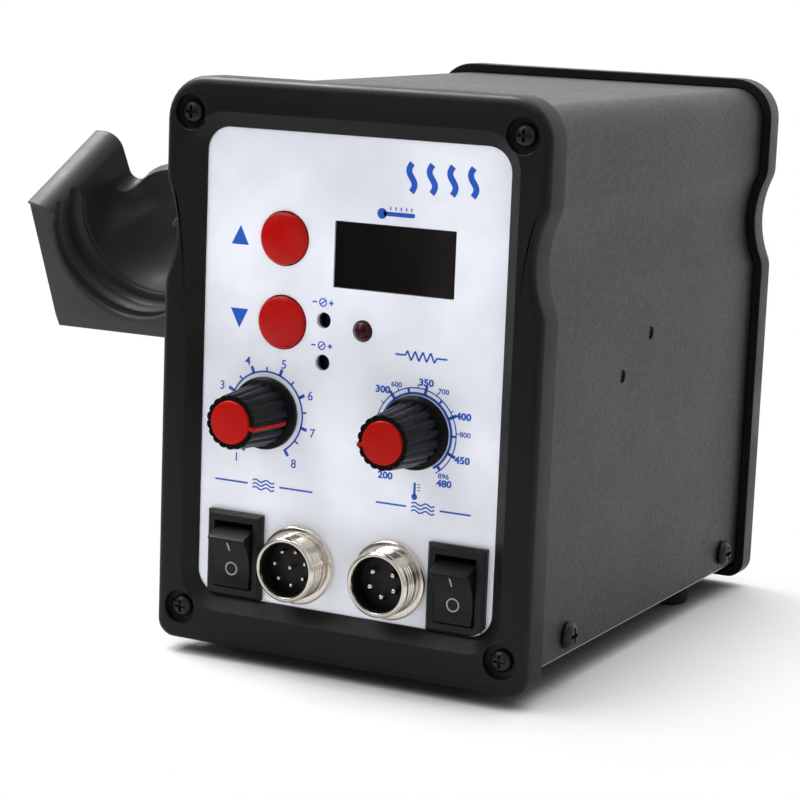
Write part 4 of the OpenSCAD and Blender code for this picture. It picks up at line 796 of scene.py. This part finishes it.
def channel_rule(x0, x1, z):
    """Rule with a small bundle of waves in its middle, under each channel's controls."""
    centre, gap = (x0 + x1) / 2, 4.4
    faces = [band([(x0, z), (centre - gap, z)], 0.42), band([(centre + gap, z), (x1, z)], 0.42)]
    for i in (-1, 0, 1):
        faces += strip_faces(wave_points(centre - 3.0, z + i * 0.9, 6.0, 0.3, 2.0), 0.36)
    return faces


def print_panel():
    """All printing on the panel, as thin ink shapes on its face."""
    groups = {
        "airflow_dial": airflow_dial(),
        "temperature_dial": temperature_dial(),
        "button_arrows": arrow_marks(),
        "heat_sign": heat_sign(),
        "thermometer_sign": thermometer_sign(),
        "trimmer_signs": trim_sign(86.2) + trim_sign(76.0),
        "heater_sign": heater_sign(),
        "channel_rules": channel_rule(-35.6, -8.7, 40.7) + channel_rule(8.3, 33.0, 40.7),
    }
    for name, faces in groups.items():
        new_piece(name, ink_mesh(name, faces, PRINT_BLUE, flat_on_panel), "station")


IN_FRONT = -50.0        # a depth in front of every piece, in millimetres


def laid_on(node):
    """A function that lays ink on the front of a node, however that face is curved."""
    mesh = NODES[node].data
    skin = BVHTree.FromPolygons([v.co for v in mesh.vertices],
                                [face.vertices for face in mesh.polygons])

    def lay(co):
        hit = skin.ray_cast(at(co.x, IN_FRONT, co.z), Vector((0, 1, 0)))[0]
        return hit + Vector((0, co.y * MM, 0))
    return lay


def rocker_marks(node):
    """Bar and ring on the two halves of a rocker."""
    centre = middle(node)
    bar_z, ring_z = centre.z + 3.0, centre.z - 2.7
    bar = [(centre.x, bar_z - 1.1 + i * 0.55) for i in range(5)]
    ring = arc_points((centre.x, ring_z), 1.5, 0, 360, 36)
    faces = strip_faces(bar, 0.4) + strip_faces(ring, 0.34)
    name = node + "_marks"
    mesh = ink_mesh(name, faces, MARK_GREY, laid_on(node))
    new_piece(name, mesh, BODY_OF[node])


# Handle holder: what its moulding shows beyond the node's own shape

# Its frame starts at the upper front edge of its outer side, with y along the tilted seat and
# z up the front face. Lengths are in millimetres.
HOLDER_EDGE = (-97.0, 11.5, 101.5)
HOLDER_TILT = math.radians(22)
HOLDER_W = 49.5
SEAT_Z = -10.4
SEAT_R = 21.0
MOUTH_R = 20.75
BOWL_R = 18.4
BOWL_START = 13.2
BOWL_END = 30.4
BOWL_ROUND = 9.0
BOWL_STRAIGHT = BOWL_END - BOWL_ROUND - BOWL_START
BOWL_BEND = BOWL_ROUND * math.pi / 2


def in_holder(x, y, z):
    """A point given in the holder's own frame."""
    level, rise = math.cos(HOLDER_TILT), math.sin(HOLDER_TILT)
    edge_x, edge_y, edge_z = HOLDER_EDGE
    return at(edge_x + x, edge_y + y * level - z * rise, edge_z + y * rise + z * level)


def holder_piece(name, shape):
    """Turns a closed shape into a piece of the handle holder."""
    bmesh.ops.recalc_face_normals(shape, faces=shape.faces)
    mesh = smooth_mesh(shape, name, SMOOTH_ANGLE)
    mesh.materials.append(FINISHES["holder"])
    new_piece(name, mesh, "station")


def face_corners():
    """Carries the front face up to both hoods, round the mouth of the seat."""
    inset = 0.02
    heights = (-1.9, -3.3, -4.7, -6.1, -7.5, -9.0)
    rounding = ((-0.05, MOUTH_R), (0.3, MOUTH_R - 0.65), (1.2, MOUTH_R - 1.15), (1.5, SEAT_R),
                (4.0, SEAT_R))
    shape = bmesh.new()
    for mirrored in (False, True):
        rings = []
        for y, radius in rounding:
            half_gap = [math.sqrt(radius ** 2 - (z - SEAT_Z) ** 2) for z in heights]
            rim = [(HOLDER_W / 2 - half, z) for half, z in zip(half_gap, heights)]
            outline = [(inset, 0.3), (3.2, -0.9)] + rim + [(inset, heights[-1])]
            rings.append([shape.verts.new(in_holder(HOLDER_W - x if mirrored else x, y, z))
                          for x, z in outline])
        for front, back in zip(rings, rings[1:]):
            join_rings(shape, front, back)
        shape.faces.new(rings[0])
        shape.faces.new(rings[-1][::-1])
    holder_piece("holder_face_corners", shape)


def bowl_wall(run):
    """Radius and depth of the hollow's wall, after a run along it from its front edge."""
    if run < BOWL_STRAIGHT:
        return Vector((BOWL_R, BOWL_START + run))
    if run < BOWL_STRAIGHT + BOWL_BEND:
        b = (run - BOWL_STRAIGHT) / BOWL_ROUND
        return Vector((BOWL_R - BOWL_ROUND * (1 - math.cos(b)),
                       BOWL_END - BOWL_ROUND * (1 - math.sin(b))))
    return Vector((BOWL_R - BOWL_ROUND - (run - BOWL_STRAIGHT - BOWL_BEND), BOWL_END))


def bowl_point(share, turn, blend, sink):
    """Point of the bowl: blend 0 is the hollow's wall and 1 the fair curve in front of it."""
    a = math.pi / 2 * share
    fair = Vector((BOWL_R * math.cos(a), BOWL_START + (BOWL_END - BOWL_START) * math.sin(a)))
    full = bowl_wall(share * (BOWL_STRAIGHT + BOWL_BEND + BOWL_R - BOWL_ROUND))
    radius, y = full.lerp(fair, blend)
    radius, y = radius + sink * math.cos(a), y + sink * math.sin(a)
    return in_holder(HOLDER_W / 2 + radius * math.cos(turn), y, SEAT_Z + radius * math.sin(turn))


FAIRING_STEPS = 20
FAIRING_REACH = 0.99        # share of the way from the bowl's front edge to its middle
FAIRING_TURNS = 72
FAIRING_FADE = 26           # degrees over which it fades out below the upper edge
FACE_SINK = -0.02           # in millimetres into the wall, so that the face stands out a little
EDGE_SINK = 0.2
BACK_SINK = 0.5


def fairing_grid(shape, shown):
    """Vertices over the bowl's lower half: of the face that shows, or of the back in the wall."""
    grid = []
    for j in range(FAIRING_TURNS + 1):
        turn = -math.pi + math.pi * j / FAIRING_TURNS
        below_edge = min(j, FAIRING_TURNS - j) / FAIRING_TURNS * 180.0
        blend = min(1.0, below_edge / FAIRING_FADE) if shown else 0.0
        blend = blend * blend * (3 - 2 * blend)
        sink = BACK_SINK
        if shown:
            sink = FACE_SINK if blend > 0 else EDGE_SINK
        shares = [FAIRING_REACH * i / FAIRING_STEPS for i in range(FAIRING_STEPS + 1)]
        grid.append([shape.verts.new(bowl_point(share, turn, blend, sink)) for share in shares])
    return grid


def grid_rim(grid):
    """The vertices round a grid, in order."""
    return ([row[0] for row in grid] + grid[-1][1:] + [row[-1] for row in grid[-2::-1]]
            + grid[0][-2:0:-1])


def bowl_fairing():
    """Fair curve between the bowl's side and its back, which fades out near the upper edge."""
    shape = bmesh.new()
    grids = [fairing_grid(shape, shown) for shown in (True, False)]
    for grid in grids:
        for row, after in zip(grid, grid[1:]):
            for i in range(FAIRING_STEPS):
                shape.faces.new((row[i], row[i + 1], after[i + 1], after[i]))
    join_rings(shape, grid_rim(grids[0]), grid_rim(grids[1]))
    holder_piece("holder_bowl_fairing", shape)


# Threaded noses of the two sockets; lengths are in millimetres

THREAD_PITCH = 1.0
THREAD_DEPTH = 0.36
THREAD_STEPS = 8          # rings of vertices in one pitch
THREAD_RUN_IN = 6         # rings over which the thread grows to its depth
THREAD_RUN_OUT = 10       # rings over which it ends at the flange
TURN_STEPS = 120
RIM_ROUND = 0.12
# Gap and thickness of the black sleeve that paints shade into each socket's bore
SHADE_SLEEVE_GAP = 0.02
SHADE_SLEEVE_T = 0.23


def turned_rings(node):
    """Radius and depth in millimetres of each vertex of a node that is turned round the Y axis."""
    centre = middle(node)
    points = [(v.co - HOUSING) / MM for v in NODES[node].data.vertices]
    return [(math.hypot(p.x - centre.x, p.z - centre.z), p.y) for p in points]


def shell_profile(rings):
    """Closed profile of a socket's shell as (radius, depth, share of the thread)."""
    front, back = min(y for _, y in rings), max(y for _, y in rings)
    bore, flange = min(r for r, _ in rings), max(r for r, _ in rings)
    rim = max(r for r, y in rings if y < front + RIM_ROUND)
    nose = max(r for r, y in rings if y < PANEL_FACE_Y - 2)
    neck = max(r for r, y in rings if y > PANEL_FACE_Y + 2)
    shoulder = max(y for r, y in rings if y < PANEL_FACE_Y - 0.5 and abs(r - nose) < 0.1)
    start = front + nose - rim
    count = round((shoulder - start) / THREAD_PITCH * THREAD_STEPS)
    mouth = [(bore, back, 0), (bore, front + RIM_ROUND, 0), (bore + RIM_ROUND, front, 0),
             (rim - RIM_ROUND / 2, front, 0), (rim + RIM_ROUND / 2, front + RIM_ROUND / 2, 0)]
    thread = [(nose, start + (shoulder - start) * i / count,
               min(1, i / THREAD_RUN_IN, (count - i) / THREAD_RUN_OUT)) for i in range(count + 1)]
    collar = [(flange - 0.5, shoulder, 0), (flange - 0.12, shoulder + 0.12, 0),
              (flange, shoulder + 0.45, 0), (flange, PANEL_FACE_Y, 0)]
    return mouth + thread + collar + [(neck, PANEL_FACE_Y, 0), (neck, back, 0)]


def close_turned(shape, rows):
    """Closes rings of vertices into a turned solid."""
    for row, after in zip(rows, rows[1:] + rows[:1]):
        join_rings(shape, row, after)
    bmesh.ops.recalc_face_normals(shape, faces=shape.faces)


def threaded_shell(node):
    """Turned shell with a fine screw thread on its nose, in the node's place."""
    profile = shell_profile(turned_rings(node))
    centre = middle(node)
    shape = bmesh.new()
    rows = []
    for radius, y, share in profile:
        row = []
        for j in range(TURN_STEPS):
            turn = j / TURN_STEPS
            groove = (1 - math.cos(2 * math.pi * (y / THREAD_PITCH - turn))) / 2
            r = radius - THREAD_DEPTH * share * groove
            a = 2 * math.pi * turn
            x, z = centre.x + r * math.cos(a), centre.z + r * math.sin(a)
            row.append(shape.verts.new(at(x, y, z)))
        rows.append(row)
    close_turned(shape, rows)
    mesh = smooth_mesh(shape, node + "_skin", math.radians(60))
    mesh.materials.append(FINISHES[SLOT_OF[node]])
    piece = new_piece(node + "_threaded", mesh, BODY_OF[node])
    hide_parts(node)


def bore_liner(shell, insert):
    """Black sleeve over a socket's bore wall from the insert to just behind the rim, a dark sheet
    that paints the shade in the bore.
    """
    centre = middle(shell)
    rings = turned_rings(shell)
    front, bore = min(y for _, y in rings), min(r for r, _ in rings)
    outer = bore - SHADE_SLEEVE_GAP
    inner = outer - SHADE_SLEEVE_T
    end = min(y for _, y in turned_rings(insert)) - 0.01
    section = [(outer, front + 0.7), (inner + 0.1, front + 0.7), (inner, front + 0.8),
               (inner, end), (outer, end)]
    shape = bmesh.new()
    rows = []
    for radius, y in section:
        circle = arc_points((centre.x, centre.z), radius, 0, 360, TURN_STEPS)[:-1]
        rows.append([shape.verts.new(at(x, y, z)) for x, z in circle])
    close_turned(shape, rows)
    mesh = smooth_mesh(shape, shell + "_shade_sleeve", SMOOTH_ANGLE)
    mesh.materials.append(FINISHES["dark_plastic"])
    new_piece(shell + "_shade_sleeve", mesh, BODY_OF[insert])


# Camera, lights and floor

# Place in millimetres from the housing's own corner, then angles in degrees
CAMERA_AT = (279.715, -516.76, 167.232)
CAMERA_AZIMUTH = 27.205
CAMERA_PITCH = 10.611
CAMERA_ROLL = -2.186
CAMERA_LENS = 115.38
CAMERA_SHIFT = (0.0068, 0.0404)
SENSOR_W = 36

# Name, place in metres, width in metres and power in watts
SOFTBOXES = [
    ("key", (-0.55, -0.7, 0.75), 0.6, 2.6),
    ("fill", (0.8, -0.6, 0.35), 0.7, 0.8),
    ("bounce", (0.0, -0.45, 0.02), 0.3, 0.12),
    ("top", (-0.1, 0.1, 0.95), 0.7, 3.0),
    ("left", (-0.45, 0.05, 0.85), 0.5, 14.0),
]
ROOM_DARK = (0.05, 0.05, 0.055, 1)
WORLD_LIGHT = (0.3, 0.3, 0.3, 1)
FLOOR_HALF = 6.0
FLOOR_PAPER = (0.86, 0.86, 0.87, 1)
# Colour of the painted contact shadow on the floor near the station's base
FLOOR_PAINTED_SHADE = (0.2, 0.2, 0.2, 1)
# Colour of the floor's painted glow, as metal and glass see it
FLOOR_MIRRORED = (0.9, 0.9, 0.9, 1)


def add_camera():
    """Camera that frames the station as the photograph does, from its right and a little above."""
    turn, dip, roll = (math.radians(a) for a in (CAMERA_AZIMUTH, CAMERA_PITCH, CAMERA_ROLL))
    forward = Vector((-math.sin(turn) * math.cos(dip), math.cos(turn) * math.cos(dip),
                      -math.sin(dip)))
    level = Vector((math.cos(turn), math.sin(turn), 0))
    down = forward.cross(level)
    right = level * math.cos(roll) + down * math.sin(roll)
    up = level * math.sin(roll) - down * math.cos(roll)
    lens = bpy.data.cameras.new("camera")
    lens.sensor_width = SENSOR_W
    lens.lens = CAMERA_LENS
    lens.shift_x, lens.shift_y = CAMERA_SHIFT
    lens.clip_end = 100
    camera = bpy.data.objects.new("camera", lens)
    axes = Matrix((right, up, -forward)).transposed().to_4x4()
    camera.matrix_world = Matrix.Translation(at(*CAMERA_AT)) @ axes
    bpy.context.scene.collection.objects.link(camera)
    bpy.context.scene.camera = camera


def add_softbox(name, place, size, power):
    """Square soft lamp aimed at the middle of the station."""
    light = bpy.data.lights.new(name, "AREA")
    light.size = size
    light.energy = power
    lamp = bpy.data.objects.new(name, light)
    target = (CAD_LOW + CAD_HIGH) / 2
    aim = (target - Vector(place)).to_track_quat("-Z", "Y").to_matrix().to_4x4()
    lamp.matrix_world = Matrix.Translation(place) @ aim
    bpy.context.scene.collection.objects.link(lamp)


def mirrored_ray(tree, path):
    """1 for a ray that comes by way of metal or glass."""
    return maths(tree, "MAXIMUM", path["Is Glossy Ray"], path["Is Transmission Ray"])


def add_world():
    """White backdrop, also in mirrors behind and above the station, and a dim room before it."""
    world = bpy.data.worlds.new("studio")
    bpy.context.scene.world = world
    world.use_nodes = True
    tree = world.node_tree
    tree.nodes.clear()
    direction = add_node(tree, "ShaderNodeSeparateXYZ",
                         Vector=tree.nodes.new("ShaderNodeTexCoord").outputs["Generated"])
    behind = spread(tree, direction.outputs[1], -0.2, 0.35)
    above = spread(tree, direction.outputs[2], 0.2, 0.8, 0.0, 0.6)
    room = blend_colours(tree, maths(tree, "MAXIMUM", behind, above), ROOM_DARK, WHITE)
    path = tree.nodes.new("ShaderNodeLightPath").outputs
    light = blend_colours(tree, mirrored_ray(tree, path), WORLD_LIGHT, room)
    shown = blend_colours(tree, path["Is Camera Ray"], light, WHITE)
    background = add_node(tree, "ShaderNodeBackground", Color=shown, Strength=1.0)
    out = tree.nodes.new("ShaderNodeOutputWorld")
    tree.links.new(background.outputs[0], out.inputs[0])


def floor_finish():
    """Paper that the camera sees as white except in the station's shadow, with a painted contact
    shadow darkening its colour near the station's base; mirrors see it as a painted glow with the
    same shade.
    """
    finish = bpy.data.materials.new("floor_white")
    finish.use_nodes = True
    tree = finish.node_tree
    tree.nodes.clear()
    place = add_node(tree, "ShaderNodeSeparateXYZ", Vector=object_place(tree))
    sky = add_node(tree, "ShaderNodeAmbientOcclusion", {"samples": 8}, Distance=0.07).outputs["AO"]
    unshaded = spread(tree, sky, 0.3, 0.92)
    # Metal and glass see the floor as a painted glow, dark in a painted shadow near the station's
    # base and towards the front
    lit = maths(tree, "MULTIPLY", spread(tree, place.outputs[1], -0.42, -0.16), unshaded)
    # Painted shadow: the paper's colour darkens where the station occludes it
    shaded_paper = blend_colours(tree, spread(tree, sky, 0.1, 0.6), FLOOR_PAINTED_SHADE, FLOOR_PAPER)
    paper = add_node(tree, "ShaderNodeBsdfDiffuse", Color=shaded_paper)
    white = add_node(tree, "ShaderNodeEmission", Color=WHITE, Strength=1.0)
    glow = add_node(tree, "ShaderNodeEmission", Strength=1.0,
                    Color=blend_colours(tree, lit, ROOM_DARK, FLOOR_MIRRORED))
    path = tree.nodes.new("ShaderNodeLightPath").outputs
    camera = maths(tree, "MULTIPLY", path["Is Camera Ray"], unshaded)
    seen = add_node(tree, "ShaderNodeMixShader", i0=camera, i1=paper.outputs[0],
                    i2=white.outputs[0])
    both = add_node(tree, "ShaderNodeMixShader", i0=mirrored_ray(tree, path),
                    i1=seen.outputs[0], i2=glow.outputs[0])
    out = tree.nodes.new("ShaderNodeOutputMaterial")
    tree.links.new(both.outputs[0], out.inputs[0])
    return finish


def add_floor():
    """Table top that keeps the station's soft shadow, and ends in the dim room in front."""
    corners = [(x * FLOOR_HALF, y * FLOOR_HALF, 0) for x, y in ((-1, -1), (1, -1), (1, 1), (-1, 1))]
    mesh = bpy.data.meshes.new("floor")
    mesh.from_pydata(corners, [], [(0, 1, 2, 3)])
    mesh.materials.append(floor_finish())
    floor = bpy.data.objects.new("floor", mesh)
    bpy.context.scene.collection.objects.link(floor)


def add_studio():
    """Camera, lights and floor, with colours shown as they are."""
    add_camera()
    add_world()
    add_floor()
    for softbox in SOFTBOXES:
        add_softbox(*softbox)
    bpy.context.scene.view_settings.view_transform = "Standard"


add_studio()
dress_nodes()
soften_nodes()
print_panel()
for rocker in ("rework_rocker", "iron_rocker"):
    rocker_marks(rocker)
face_corners()
bowl_fairing()
for channel in ("rework", "iron"):
    threaded_shell(channel + "_socket_shell")
    # A black sleeve in each bore stands in for its shade
    bore_liner(channel + "_socket_shell", channel + "_socket_insert")
